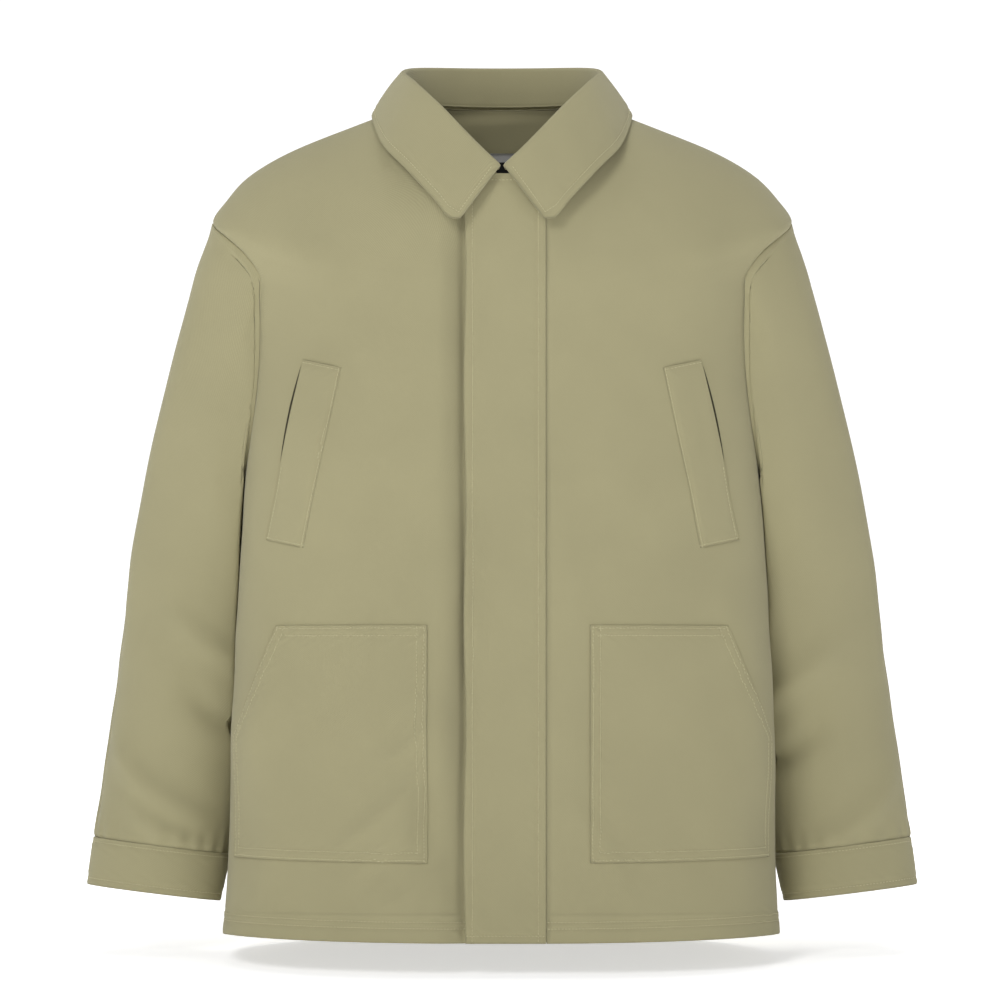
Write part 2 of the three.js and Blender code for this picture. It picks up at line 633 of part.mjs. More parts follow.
// A share of the drop from the side of the collar's edge to its point.
const fallDrop = (share) => mix(FALL_SIDE_Z, -COLLAR_POINT_DROP, share);
const fallZ = curve([
  [0, FOLD_TOP_Z - COLLAR_FALL],
  [0.3, FOLD_TOP_Z - COLLAR_FALL + 12],
  [0.5, FALL_SIDE_Z],
  [0.66, fallDrop(0.3)],
  [0.8, fallDrop(0.56)],
  [0.92, fallDrop(0.85)],
  [0.97, fallDrop(0.99)],
  [1, -COLLAR_POINT_DROP],
]);
const STAND_BOW = 1.5;
const FALL_BOW = 2.5;
const FOLD_SHARE = 0.34; // of the collar's width, from the neck edge to the fold
const FOLD_ROUND = 0.045; // share of the width that the fold is rounded over

function collarPoint(turn, width) {
  const at = Math.abs(turn);
  const seam = body(Math.max(Math.PI * (1 - at), angleAt(3, 0)), 0);
  seam.z += COLLAR_LIFT;
  const fold = new THREE.Vector3(foldX(at), foldY(at), foldZ(at));
  const fall = new THREE.Vector3(fallX(at), fallY(at), fallZ(at));
  const out = new THREE.Vector3(Math.sin(Math.PI * at), Math.cos(Math.PI * at), 0);
  const onStand = width < FOLD_SHARE;
  const t = clamp01(onStand ? width / FOLD_SHARE : (width - FOLD_SHARE) / (1 - FOLD_SHARE));
  const point = onStand ? seam.lerp(fold, t) : fold.lerp(fall, t);
  point.addScaledVector(out, Math.sin(Math.PI * t) * (onStand ? -STAND_BOW : FALL_BOW));
  if (turn < 0) point.x *= -1;
  return point;
}

// The collar with its fold rounded, by averaging over a short width.
function collar(turn, width) {
  const reach = FOLD_ROUND * ease(0, 0.12, width) * ease(1, 0.88, width);
  const steps = [-1, -0.5, 0, 0.5, 1];
  const sum = new THREE.Vector3();
  for (const step of steps) sum.add(collarPoint(turn, width + reach * step));
  return sum.divideScalar(steps.length);
}
const COLLAR_WIDTHS = curve([
  [0, 0],
  [0.25, 0.24],
  [0.4, 0.32],
  [0.6, 0.4],
  [0.75, 0.56],
  [1, 1],
]);
const collarMap = (u, v) => collar(mix(1, -1, u), COLLAR_WIDTHS(1 - v));
const COLLAR_COLUMNS = 30;
const COLLAR_ROWS = 8;

// ---- Neck facing and label, inside the back ----
const FACING_OFFSET = -CLOTH / 2 - BACKING_GAP;
const NECK_FACING_HALF_WIDTH = NECK_HALF_WIDTH - 6;
const LABEL_OFFSET = FACING_OFFSET - PLY - LAYER_GAP;
const LABEL_THICKNESS = 0.8;
const backPatch = (halfWidth, low, high) => (u, v) =>
  back(mix(halfWidth, -halfWidth, u), mix(low, high, v));

// ---- The front's own frame: x across, y inwards from the front line, z up along the line ----
const LINE_LENGTH = (BODY_LENGTH - FRONT_NECK_DROP) / Math.cos(FRONT_TILT);
const lineFrame = new THREE.Group();
lineFrame.position.set(0, -FRONT_NECK_DEPTH, -FRONT_NECK_DROP);
lineFrame.rotation.x = -FRONT_TILT;
const TAPE_DIP = UNDERLAP + CLOTH / 2 + LAYER_GAP + TAPE_THICKNESS / 2;
const FACING_DIP = TAPE_DIP + TAPE_THICKNESS / 2 + LAYER_GAP + PLY / 2;
const LOW_FACING_DIP = CLOTH / 2 + LAYER_GAP + PLY / 2;
const SEAM_DIP = CLOTH / 2 + LAYER_GAP + CLOTH / 2; // what is sewn behind the left front's edge
const leftDip = (x) => mix(UNDERLAP, SEAM_DIP, ease(FLAP_SEAM_X - 16, FLAP_SEAM_X, x));
const LEFT_FACING_END = FLAP_SEAM_X + 16;
const leftFacingDip = (x) => mix(FACING_DIP, LOW_FACING_DIP, ease(FLAP_SEAM_X - 16, FLAP_SEAM_X + 24, x));
const RIGHT_FACING_END = FLAP_EDGE_X + 4;

// ---- Zip, in the front's own frame ----
const ZIP_TOP = -ZIP_TOP_GAP;
const ZIP_FOOT = -LINE_LENGTH + ZIP_BOTTOM_GAP;
const BEAD_TOP = ZIP_TOP - STOP_HEIGHT - RUNNING_GAP;
const BEAD_FOOT = ZIP_FOOT + BOX_HEIGHT + RUNNING_GAP;
const BEAD_X = BEAD_GAP / 2 + BEAD_WIDTH / 2; // from the zip line to the middle of one row of teeth
const TAPE_EDGE = BEAD_GAP / 2 + BEAD_WIDTH + RUNNING_GAP;
const SLIDER_TOP = BEAD_TOP - 1;
const PLATE_FACE = BEAD_DEPTH / 2 + RUNNING_GAP; // slider plate's inner face from the middle of the teeth
const LUG_Z = SLIDER_TOP - SLIDER_LENGTH * 0.4;
const PIN_Y = TAPE_DIP - PLATE_FACE - SLIDER_PLATE - LUG_HEIGHT / 2;

const beadBox = (side, top, foot) =>
  box(BEAD_WIDTH, BEAD_DEPTH, top - foot, ZIP_X + side * BEAD_X, TAPE_DIP, (top + foot) / 2);

// A cylinder of the given radius lying along X.
const rod = (radius, length, y, z) =>
  new THREE.CylinderGeometry(radius, radius, length, 10).rotateZ(Math.PI / 2).translate(ZIP_X, y, z);

function sliderSolid() {
  const middle = SLIDER_TOP - SLIDER_LENGTH / 2;
  const plate = (side) =>
    box(
      SLIDER_WIDTH,
      SLIDER_PLATE,
      SLIDER_LENGTH,
      ZIP_X,
      TAPE_DIP + side * (PLATE_FACE + SLIDER_PLATE / 2),
      middle,
    );
  const postDepth = 2 * PLATE_FACE + SLIDER_PLATE;
  const post = box(SLIDER_POST, postDepth, SLIDER_LENGTH, ZIP_X, TAPE_DIP, middle);
  const lugY = PIN_Y + SLIDER_PLATE / 2;
  const lug = box(LUG_WIDTH, LUG_HEIGHT + SLIDER_PLATE, LUG_LENGTH, ZIP_X, lugY, LUG_Z);
  const bore = rod(PIN_RADIUS + RUNNING_GAP, LUG_WIDTH * 2, PIN_Y, LUG_Z);
  return cut(join(plate(1), plate(-1), post, lug), bore);
}

function tabSolid() {
  const above = PIN_RADIUS + 0.4;
  const plate = box(TAB_WIDTH, TAB_THICKNESS, TAB_LENGTH, ZIP_X, PIN_Y, LUG_Z + above - TAB_LENGTH / 2);
  const slotHeight = above + LUG_LENGTH;
  const slot = box(
    LUG_WIDTH + 2 * RUNNING_GAP,
    TAB_THICKNESS * 2,
    slotHeight * 2,
    ZIP_X,
    PIN_Y,
    LUG_Z + above,
  );
  return join(cut(plate, slot), rod(PIN_RADIUS, TAB_WIDTH - 0.6, PIN_Y, LUG_Z));
}

function boxSolid() {
  const middle = ZIP_FOOT + BOX_HEIGHT / 2;
  const outer = box(BOX_WIDTH, BEAD_DEPTH + 2 * BOX_WALL, BOX_HEIGHT, ZIP_X, TAPE_DIP, middle);
  const well = box(
    BEAD_WIDTH + 2 * RUNNING_GAP,
    BEAD_DEPTH - PIN_PLAY,
    BOX_HEIGHT,
    ZIP_X + BEAD_X,
    TAPE_DIP,
    middle + BOX_FLOOR,
  );
  return cut(outer, well);
}
const pinBox = () => {
  const foot = ZIP_FOOT + BOX_FLOOR + RUNNING_GAP;
  const top = BEAD_FOOT - RUNNING_GAP;
  return box(BEAD_WIDTH, BEAD_DEPTH - 2 * PIN_PLAY, top - foot, ZIP_X + BEAD_X, TAPE_DIP, (top + foot) / 2);
};

// ---- Press studs: profiles from the middle outwards, turned about the stud's own Y axis ----
const turned = (points) => new THREE.LatheGeometry(points.map(([r, y]) => new THREE.Vector2(r, y)), 12);
const studProfile = [
  [0, 0],
  [STUD_RADIUS, 0],
  [STUD_RADIUS, STUD_BASE],
  [STUD_POST_RADIUS, STUD_BASE],
  [STUD_POST_RADIUS, STUD_BASE + STUD_POST_HEIGHT],
  [0, STUD_BASE + STUD_POST_HEIGHT],
];
const SOCKET_HOLE = STUD_POST_RADIUS + STUD_CLEARANCE;
const socketProfile = [
  [0, SOCKET_HEIGHT - SOCKET_FLOOR],
  [SOCKET_HOLE, SOCKET_HEIGHT - SOCKET_FLOOR],
  [SOCKET_HOLE, 0],
  [SOCKET_RADIUS, 0],
  [SOCKET_RADIUS, SOCKET_HEIGHT],
  [0, SOCKET_HEIGHT],
];

// ---- The assembly ----
const jacket = new THREE.Group();
jacket.name = "jacket";
jacket.add(lineFrame);
function piece(name, geometry, color, { roughness = 0.9, metalness = 0, parent = jacket } = {}) {
  const mesh = new THREE.Mesh(geometry, new THREE.MeshStandardMaterial({ color, roughness, metalness }));
  mesh.name = name;
  parent.add(mesh);
  return mesh;
}
const SHELL = 0xa59f7b;
const INSIDE = 0x9d9773;
const LABEL_GREY = 0xc9c9c6;
const TAPE_COLOR = 0x2b2b28;
const STEEL = 0x8a8a86;
const METAL = { roughness: 0.35, metalness: 1 };

const rightFront = shellSheet(rightFrontMap, RIGHT_COLUMNS, BODY_ROWS);
const leftFront = shellSheet(leftFrontMap, LEFT_COLUMNS, BODY_ROWS);
piece("right_front_panel", cut(rightFront, mirrored(slitTool())), SHELL);
piece("left_front_panel", cut(leftFront, slitTool()), SHELL);
piece("back_panel", shellSheet(backMap, 18, BODY_ROWS), SHELL);

piece("left_sleeve_head", sleeveHeadSheet(), SHELL);
piece("right_sleeve_head", mirrored(sleeveHeadSheet()), SHELL);
piece("left_sleeve", sleeveSheet(), SHELL);
piece("right_sleeve", mirrored(sleeveSheet()), SHELL);
piece("left_cuff", cuffSheet(), SHELL);
piece("right_cuff", mirrored(cuffSheet()), SHELL);

const PLY_FACE = RUNNING_GAP / 2; // each ply's face that the other one meets
const collarPly = (inner, outer) => sheet(collarMap, COLLAR_COLUMNS, COLLAR_ROWS, inner, outer);
piece("top_collar", collarPly(PLY_FACE, PLY_FACE + PLY), SHELL);
piece("under_collar", collarPly(-PLY_FACE - PLY, -PLY_FACE), SHELL);
const facingMap = backPatch(NECK_FACING_HALF_WIDTH, -NECK_FACING_DEPTH, -2);
piece("neck_facing", sheet(facingMap, 10, 5, FACING_OFFSET - PLY, FACING_OFFSET), INSIDE);
const labelMap = backPatch(LABEL_WIDTH / 2, -LABEL_DROP - LABEL_HEIGHT, -LABEL_DROP);
piece("neck_label", sheet(labelMap, 4, 2, LABEL_OFFSET - LABEL_THICKNESS, LABEL_OFFSET), LABEL_GREY);

const LINE_TOP_Z = -FRONT_NECK_DROP - ZIP_TOP_GAP;
const LINE_FOOT_Z = HEM_Z + 1;
const TAPE_FOOT_Z = HEM_Z + ZIP_BOTTOM_GAP + BOX_HEIGHT;
const frontSheet = (x0, x1, dip, columns, thickness, foot = LINE_FOOT_Z) =>
  sheet(strip(x0, x1, foot, LINE_TOP_Z, dip), columns, 14, -thickness / 2, thickness / 2);
const placket = frontSheet(LEFT_EDGE_X, FLAP_SEAM_X - 1, leftDip, 4, CLOTH);
piece("left_zip_placket", placket, SHELL);
const leftFacing = frontSheet(LEFT_EDGE_X, LEFT_FACING_END, leftFacingDip, 6, PLY);
piece("left_front_facing", leftFacing, INSIDE);
const rightFacing = frontSheet(RIGHT_FACING_END, RIGHT_EDGE_X, () => FACING_DIP, 2, PLY);
piece("right_front_facing", rightFacing, INSIDE);

const FLAP_HEAD_Z = -FLAP_HEAD_DROP;
const flapSheet = (z0, z1, rows) =>
  sheet(strip(FLAP_EDGE_X, FLAP_SEAM_X, z0, z1), 4, rows, -FLAP_CLOTH / 2, FLAP_CLOTH / 2);
piece("storm_flap_head", flapSheet(FLAP_HEAD_Z + SEAM_GAP, -FRONT_NECK_DROP - 1, 2), SHELL);
piece("storm_flap", flapSheet(HEM_Z, FLAP_HEAD_Z, 14), SHELL);

piece("left_chest_welt", weltSheet(), SHELL);
piece("right_chest_welt", mirrored(weltSheet()), SHELL);
piece("left_chest_pocket_bag", bagSheet(), INSIDE);
piece("right_chest_pocket_bag", mirrored(bagSheet()), INSIDE);
piece("left_patch_pocket", pocketSheet(POCKET_INNER_X.left), SHELL);
piece("right_patch_pocket", mirrored(pocketSheet(POCKET_INNER_X.right)), SHELL);

const onLine = { parent: lineFrame };
const metalOnLine = { ...METAL, parent: lineFrame };
for (const [name, side] of [
  ["left", 1],
  ["right", -1],
]) {
  const edges = [ZIP_X + side * TAPE_EDGE, ZIP_X + side * TAPE_WIDTH].sort((a, b) => a - b);
  const tape = frontSheet(...edges, () => TAPE_DIP, 2, TAPE_THICKNESS, TAPE_FOOT_Z);
  piece(`${name}_zip_tape`, tape, TAPE_COLOR);
  piece(`${name}_zip_teeth`, beadBox(side, BEAD_TOP, BEAD_FOOT), TAPE_COLOR, onLine);
  piece(`${name}_zip_top_stop`, beadBox(side, ZIP_TOP, ZIP_TOP - STOP_HEIGHT), TAPE_COLOR, onLine);
}
piece("zip_retainer_box", boxSolid(), TAPE_COLOR, onLine);
piece("zip_insertion_pin", pinBox(), TAPE_COLOR, onLine);
piece("zip_slider", sliderSolid(), STEEL, metalOnLine);
piece("zip_tab", tabSolid(), STEEL, metalOnLine);

for (let i = 0; i < STUD_COUNT; i++) {
  const z = mix(-FIRST_STUD_DROP, HEM_Z + LAST_STUD_HEM_GAP, i / (STUD_COUNT - 1));
  const outward = new THREE.Quaternion().setFromUnitVectors(
    new THREE.Vector3(0, 1, 0),
    new THREE.Vector3(0, -Math.cos(FRONT_TILT), Math.sin(FRONT_TILT)),
  );
  const place = (mesh, inward) => {
    mesh.position.copy(front(STUD_X, z));
    mesh.position.y += inward;
    mesh.quaternion.copy(outward);
  };
  const stud = piece(`press_stud_${i + 1}`, turned(studProfile), STEEL, METAL);
  place(stud, UNDERLAP - CLOTH / 2 - RUNNING_GAP);
  const socket = piece(`press_socket_${i + 1}`, turned(socketProfile), STEEL, METAL);
  place(socket, FLAP_CLOTH / 2 + RUNNING_GAP + SOCKET_HEIGHT);
}

export default jacket;
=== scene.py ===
import math

import bpy
import numpy as np
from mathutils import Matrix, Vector
from mathutils.bvhtree import BVHTree


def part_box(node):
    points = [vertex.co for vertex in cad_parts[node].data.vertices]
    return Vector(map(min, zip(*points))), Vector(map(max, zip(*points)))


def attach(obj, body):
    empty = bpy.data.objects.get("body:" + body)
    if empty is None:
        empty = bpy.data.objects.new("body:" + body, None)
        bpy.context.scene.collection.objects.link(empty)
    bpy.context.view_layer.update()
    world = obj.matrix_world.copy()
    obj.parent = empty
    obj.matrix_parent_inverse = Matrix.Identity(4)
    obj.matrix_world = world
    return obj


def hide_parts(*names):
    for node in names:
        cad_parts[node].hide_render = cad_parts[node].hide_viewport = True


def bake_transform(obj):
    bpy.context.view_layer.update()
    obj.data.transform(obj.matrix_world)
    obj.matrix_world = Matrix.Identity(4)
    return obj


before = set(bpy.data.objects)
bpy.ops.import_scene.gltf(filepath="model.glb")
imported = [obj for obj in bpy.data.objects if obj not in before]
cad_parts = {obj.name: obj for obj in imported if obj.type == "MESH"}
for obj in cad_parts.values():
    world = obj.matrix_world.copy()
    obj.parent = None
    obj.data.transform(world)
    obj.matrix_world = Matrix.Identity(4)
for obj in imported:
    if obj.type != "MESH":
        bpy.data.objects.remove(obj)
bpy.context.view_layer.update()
MM = 0.001
PI = math.pi

# ---- The sizes of the jacket, as in its solids ----
BODY_LENGTH = 766
HEM_HALF_WIDTH = 256
HEM_SIDE_RISE = 6
CHEST_HALF_WIDTH = 235
SHOULDER_HALF_WIDTH = 266
SHOULDER_DROP = 109
ARMHOLE_DEPTH = 232
NECK_HALF_WIDTH = 84
FRONT_NECK_DROP = 64
BACK_NECK_RISE = -2
FRONT_NECK_DEPTH = 87
FRONT_HEM_DEPTH = 132
BACK_NECK_DEPTH = 66
BACK_HEM_DEPTH = 112
SLEEVE_DROP = 608
SLEEVE_SPREAD = 115
SLEEVE_HALF_WIDTH = 72
SLEEVE_HALF_DEPTH = 54
CUFF_HALF_WIDTH = 60
CUFF_HALF_DEPTH = 38
CUFF_HEIGHT = 44
FLAP_WIDTH = 74
FLAP_SEAM_X = 40
ZIP_X = 2
COLLAR_STAND = 41
COLLAR_FALL = 80
COLLAR_POINT_X = 38
COLLAR_POINT_DROP = 106.5
NECK_FACING_DEPTH = 100
LABEL_WIDTH = 50
LABEL_HEIGHT = 36
LABEL_DROP = 42
POCKET_INNER_X = {"right": 68, "left": 80}
POCKET_TOP_OUTER_X = 205
POCKET_BASE_OUTER_X = 250
POCKET_HEIGHT = 211
POCKET_HEM_GAP = 77
POCKET_SLANT_HEIGHT = 124
WELT_LENGTH = 168
WELT_WIDTH = 36
WELT_TOP_X = 181.5
WELT_TOP_DROP = 235
WELT_LEAN = 35
CLOTH = 1.6
SLEEVE_CLEARANCE = 2.5
UNDERLAP = 7
ZIP_REVEAL = 7
ZIP_TOP_GAP = 10
ZIP_BOTTOM_GAP = 24
TAPE_WIDTH = 16
TAPE_THICKNESS = 0.8

SHOULDER_Z = -SHOULDER_DROP
UNDERARM_Z = SHOULDER_Z - ARMHOLE_DEPTH
HEM_Z = -BODY_LENGTH
HEM_SIDE_Z = HEM_Z + HEM_SIDE_RISE
FLAP_EDGE_X = FLAP_SEAM_X - FLAP_WIDTH


# ---- Numbers ----
def mix(a, b, t):
    return a + (b - a) * t


def ease(a, b, x):
    t = np.clip((x - a) / (b - a), 0, 1)
    return t * t * (3 - 2 * t)


def bump(centre, width, x):
    return np.exp(-(((x - centre) / width) ** 2))


def curve(keys):
    xs = np.array([k[0] for k in keys], float)
    ys = np.array([k[1] for k in keys], float)
    low = np.maximum(np.arange(len(xs)) - 1, 0)
    high = np.minimum(np.arange(len(xs)) + 1, len(xs) - 1)
    slopes = (ys[high] - ys[low]) / (xs[high] - xs[low])

    def value(x):
        x = np.clip(np.asarray(x, float), xs[0], xs[-1])
        i = np.clip(np.searchsorted(xs, x, side="right") - 1, 0, len(xs) - 2)
        h = xs[i + 1] - xs[i]
        t = (x - xs[i]) / h
        return (
            ys[i] * (1 + 2 * t) * (1 - t) ** 2
            + ys[i + 1] * t * t * (3 - 2 * t)
            + h * (slopes[i] * t * (1 - t) ** 2 - slopes[i + 1] * t * t * (1 - t))
        )

    return value


def unit(v):
    return v / np.maximum(np.linalg.norm(v, axis=-1, keepdims=True), 1e-9)


def point(x, y, z):
    return np.stack(np.broadcast_arrays(x, y, z), -1).astype(float)


# Smooth noise from a few fixed waves, about -1 to 1.
def waves(x, z, size, seed):
    total = 0
    for k in range(5):
        turn = seed * 1.7 + k * 2.4
        reach = size * (0.7 + 0.23 * ((k * 7 + seed * 3) % 5))
        along = x * math.cos(turn) + z * math.sin(turn)
        total = total + np.sin(along * 2 * PI / reach + seed * 5.1 + k * 1.3)
    return total / 3


# ---- The body's surface ----
side_half_width = curve([
    [HEM_Z, HEM_HALF_WIDTH], [UNDERARM_Z, CHEST_HALF_WIDTH],
    [mix(UNDERARM_Z, SHOULDER_Z, 0.45), CHEST_HALF_WIDTH - 6],
    [mix(UNDERARM_Z, SHOULDER_Z, 0.78), mix(CHEST_HALF_WIDTH, SHOULDER_HALF_WIDTH, 0.1)],
    [mix(UNDERARM_Z, SHOULDER_Z, 0.9), mix(CHEST_HALF_WIDTH, SHOULDER_HALF_WIDTH, 0.56)],
    [SHOULDER_Z, SHOULDER_HALF_WIDTH],
    [SHOULDER_Z * 0.8, mix(NECK_HALF_WIDTH, SHOULDER_HALF_WIDTH, 0.926)],
    [SHOULDER_Z * 0.595, mix(NECK_HALF_WIDTH, SHOULDER_HALF_WIDTH, 0.805)],
    [SHOULDER_Z * 0.39, mix(NECK_HALF_WIDTH, SHOULDER_HALF_WIDTH, 0.593)],
    [SHOULDER_Z * 0.19, mix(NECK_HALF_WIDTH, SHOULDER_HALF_WIDTH, 0.3)], [0, NECK_HALF_WIDTH],
])
front_height = curve([
    [HEM_SIDE_Z, HEM_Z], [UNDERARM_Z, UNDERARM_Z],
    [mix(UNDERARM_Z, SHOULDER_Z, 0.6), mix(UNDERARM_Z, -FRONT_NECK_DROP, 0.41)],
    [SHOULDER_Z, mix(UNDERARM_Z, -FRONT_NECK_DROP, 0.67)],
    [SHOULDER_Z * 0.58, mix(UNDERARM_Z, -FRONT_NECK_DROP, 0.77)],
    [SHOULDER_Z * 0.14, mix(UNDERARM_Z, -FRONT_NECK_DROP, 0.94)], [0, -FRONT_NECK_DROP],
])
back_height = curve([
    [HEM_SIDE_Z, HEM_Z], [UNDERARM_Z, UNDERARM_Z], [SHOULDER_Z, SHOULDER_Z - 8],
    [SHOULDER_Z * 0.58, SHOULDER_Z * 0.6], [SHOULDER_Z * 0.14, SHOULDER_Z * 0.1],
    [0, BACK_NECK_RISE],
])
back_depth = curve([
    [HEM_Z, BACK_HEM_DEPTH], [UNDERARM_Z, BACK_HEM_DEPTH - 5],
    [mix(UNDERARM_Z, SHOULDER_Z, 0.6), BACK_HEM_DEPTH - 7],
    [SHOULDER_Z, mix(BACK_NECK_DEPTH, BACK_HEM_DEPTH, 0.57)],
    [SHOULDER_Z * 0.58, mix(BACK_NECK_DEPTH, BACK_HEM_DEPTH, 0.39)], [0, BACK_NECK_DEPTH],
])
widest_depth = curve([
    [HEM_Z, -30], [UNDERARM_Z, -18], [mix(UNDERARM_Z, SHOULDER_Z, 0.6), -8], [SHOULDER_Z, 0],
    [0, 2],
])
front_fullness = curve([[HEM_Z, 2.6], [UNDERARM_Z, 2.6], [SHOULDER_Z, 2.15], [0, 2]])
back_fullness = curve([[HEM_Z, 2.3], [UNDERARM_Z, 2.3], [SHOULDER_Z, 2.1], [0, 2]])
FRONT_SLOPE = (FRONT_HEM_DEPTH - FRONT_NECK_DEPTH) / (BODY_LENGTH - FRONT_NECK_DROP)
FRONT_TILT = math.atan(FRONT_SLOPE)
STEEPEST = 3


def front_line_y(z):
    return -FRONT_NECK_DEPTH + FRONT_SLOPE * (z + FRONT_NECK_DROP)


def body(angle, row):
    angle, row = np.broadcast_arrays(np.asarray(angle, float), np.asarray(row, float))
    side, widest = side_half_width(row), widest_depth(row)
    at_front = angle < PI / 2
    power = 2 / np.where(at_front, front_fullness(row), back_fullness(row))
    along = np.abs(np.sin(angle)) ** power * np.sign(np.sin(angle))
    level = np.cos(angle) ** 2
    z = mix(row, np.where(at_front, front_height(row), back_height(row)), level)
    centre = np.where(at_front, front_line_y(front_height(row)), back_depth(row))
    y = widest + (centre - widest) * np.abs(np.cos(angle)) ** power
    return point(side * along, y, z)


def angle_at(x, row):
    share = np.minimum(1, np.abs(x) / side_half_width(row))
    return np.arcsin(share ** (front_fullness(row) / 2)) * np.sign(x)


def front(x, z):
    x, z = np.broadcast_arrays(np.asarray(x, float), np.asarray(z, float))
    row = z.copy()
    for _ in range(14):
        level = np.cos(angle_at(x, row)) ** 2
        row = np.minimum(row - (mix(row, front_height(row), level) - z), 0)
    return body(angle_at(x, row), row)


def back(x, row):
    x, row = np.broadcast_arrays(np.asarray(x, float), np.asarray(row, float))
    turn = np.arcsin(np.minimum(1, np.abs(x) / side_half_width(row)) ** (back_fullness(row) / 2))
    p = body(PI - turn, row)
    p[..., 0] *= np.sign(x)
    return p


# The x that stands clear of the body's side by a distance, or 0 where the body doesn't reach.
def beside_body(y, z, distance):
    row, clear = z.copy(), np.zeros_like(z)
    dead = np.zeros(z.shape, bool)
    for _ in range(8):
        widest = widest_depth(row)
        forward = y < widest
        level = np.where(forward, front_height(row), back_height(row))
        reach = np.abs(np.where(forward, front_line_y(level), back_depth(row)) - widest)
        power = np.where(forward, front_fullness(row), back_fullness(row))
        share = np.abs(y - widest) / reach
        dead |= share >= 1
        share = np.minimum(share, 0.999)
        width = side_half_width(row)
        across = (1 - share**power) ** (1 / power)
        steepness = ((share / across) ** (power - 1) * width) / reach
        clear = width * across + distance * np.minimum(np.hypot(1, steepness), STEEPEST)
        row = np.minimum(row + z - mix(row, level, share**power), 0)
    return np.where(dead, 0, clear)


SIDE_SEAM = 95
front_armhole = curve(
    [[0, SIDE_SEAM], [0.05, 87], [0.2, 80], [0.45, 75], [0.7, 70], [0.85, 67], [0.95, 75], [1, 90]]
)
back_armhole = curve(
    [[0, SIDE_SEAM], [0.05, 104], [0.2, 114], [0.45, 120], [0.7, 118], [0.85, 113], [0.95, 103], [1, 90]]
)


def front_edge(row):
    return np.radians(front_armhole((row - UNDERARM_Z) / ARMHOLE_DEPTH))


def back_edge(row):
    return np.radians(back_armhole((row - UNDERARM_Z) / ARMHOLE_DEPTH))


ROW_KEYS = curve([
    [0, HEM_SIDE_Z], [0.3, mix(HEM_Z, UNDERARM_Z, 0.6)], [0.48, UNDERARM_Z],
    [0.54, mix(UNDERARM_Z, SHOULDER_Z, 0.14)], [0.66, mix(UNDERARM_Z, SHOULDER_Z, 0.8)],
    [0.74, mix(UNDERARM_Z, SHOULDER_Z, 0.95)], [0.8, SHOULDER_Z], [0.88, SHOULDER_Z * 0.6], [1, 0],
])

# ---- Sleeves, on the wearer's left ----
CUFF_END = (SHOULDER_HALF_WIDTH + SLEEVE_SPREAD, SHOULDER_Z - SLEEVE_DROP)
SLEEVE_SLOPE = SLEEVE_SPREAD / SLEEVE_DROP
RING_TILT = math.radians(7)
HEAD_DROP = ARMHOLE_DEPTH * 0.5
HEAD_END = 0.42
RING_LENGTH = SLEEVE_DROP - HEAD_DROP
SLEEVE_WAY = np.array([SLEEVE_SLOPE, 0, -1]) / math.hypot(SLEEVE_SLOPE, 1)
OUTER_BOW = 9
HEAD_BOW = 9
CUFF_START = 1 - CUFF_HEIGHT / RING_LENGTH
sleeve_half_width = curve([[0, SLEEVE_HALF_WIDTH * 1.08], [0.4, SLEEVE_HALF_WIDTH], [1, CUFF_HALF_WIDTH]])
sleeve_half_depth = curve(
    [[0, SLEEVE_HALF_DEPTH * 1.05], [0.45, SLEEVE_HALF_DEPTH * 0.96], [1, CUFF_HALF_DEPTH]]
)
sleeve_depth = curve([[0, 10], [0.35, 32], [0.7, 34], [1, 22]])


def armhole(turn):
    row = mix(UNDERARM_Z, SHOULDER_Z, (1 + np.cos(2 * PI * turn)) / 2)
    return body(np.where(turn < 0.5, front_edge(row), back_edge(row)), row)


def sleeve(turn, s):
    turn, s = np.broadcast_arrays(np.asarray(turn, float), np.asarray(s, float))
    head = armhole(turn) + SLEEVE_WAY * (RING_LENGTH * 0.7 * s)[..., None]
    half = sleeve_half_width(s)
    z = SHOULDER_Z - HEAD_DROP - RING_LENGTH * s
    outer = CUFF_END[0] - (z - CUFF_END[1]) * SLEEVE_SLOPE + OUTER_BOW * np.sin(PI * s)
    across = np.cos(2 * PI * turn)
    ring = point(
        outer + half * (across - 1),
        sleeve_depth(s) - sleeve_half_depth(s) * np.sin(2 * PI * turn),
        z + half * (across - 1) * math.tan(RING_TILT),
    )
    p = mix(head, ring, ease(0, HEAD_END, s)[..., None])
    p[..., 0] += HEAD_BOW * bump(0.25, 0.22, s) * ease(0, 0.1, s) * (1 + across) / 2
    clear = beside_body(p[..., 1], p[..., 2], SLEEVE_CLEARANCE + CLOTH)
    from_top = np.minimum(turn, 1 - turn)
    pressed = np.maximum(ease(0.02, 0.11, from_top), ease(0, 0.08, s)) * ease(0, 0.02, s)
    p[..., 0] = np.maximum(p[..., 0], mix(p[..., 0], clear, pressed))
    return p


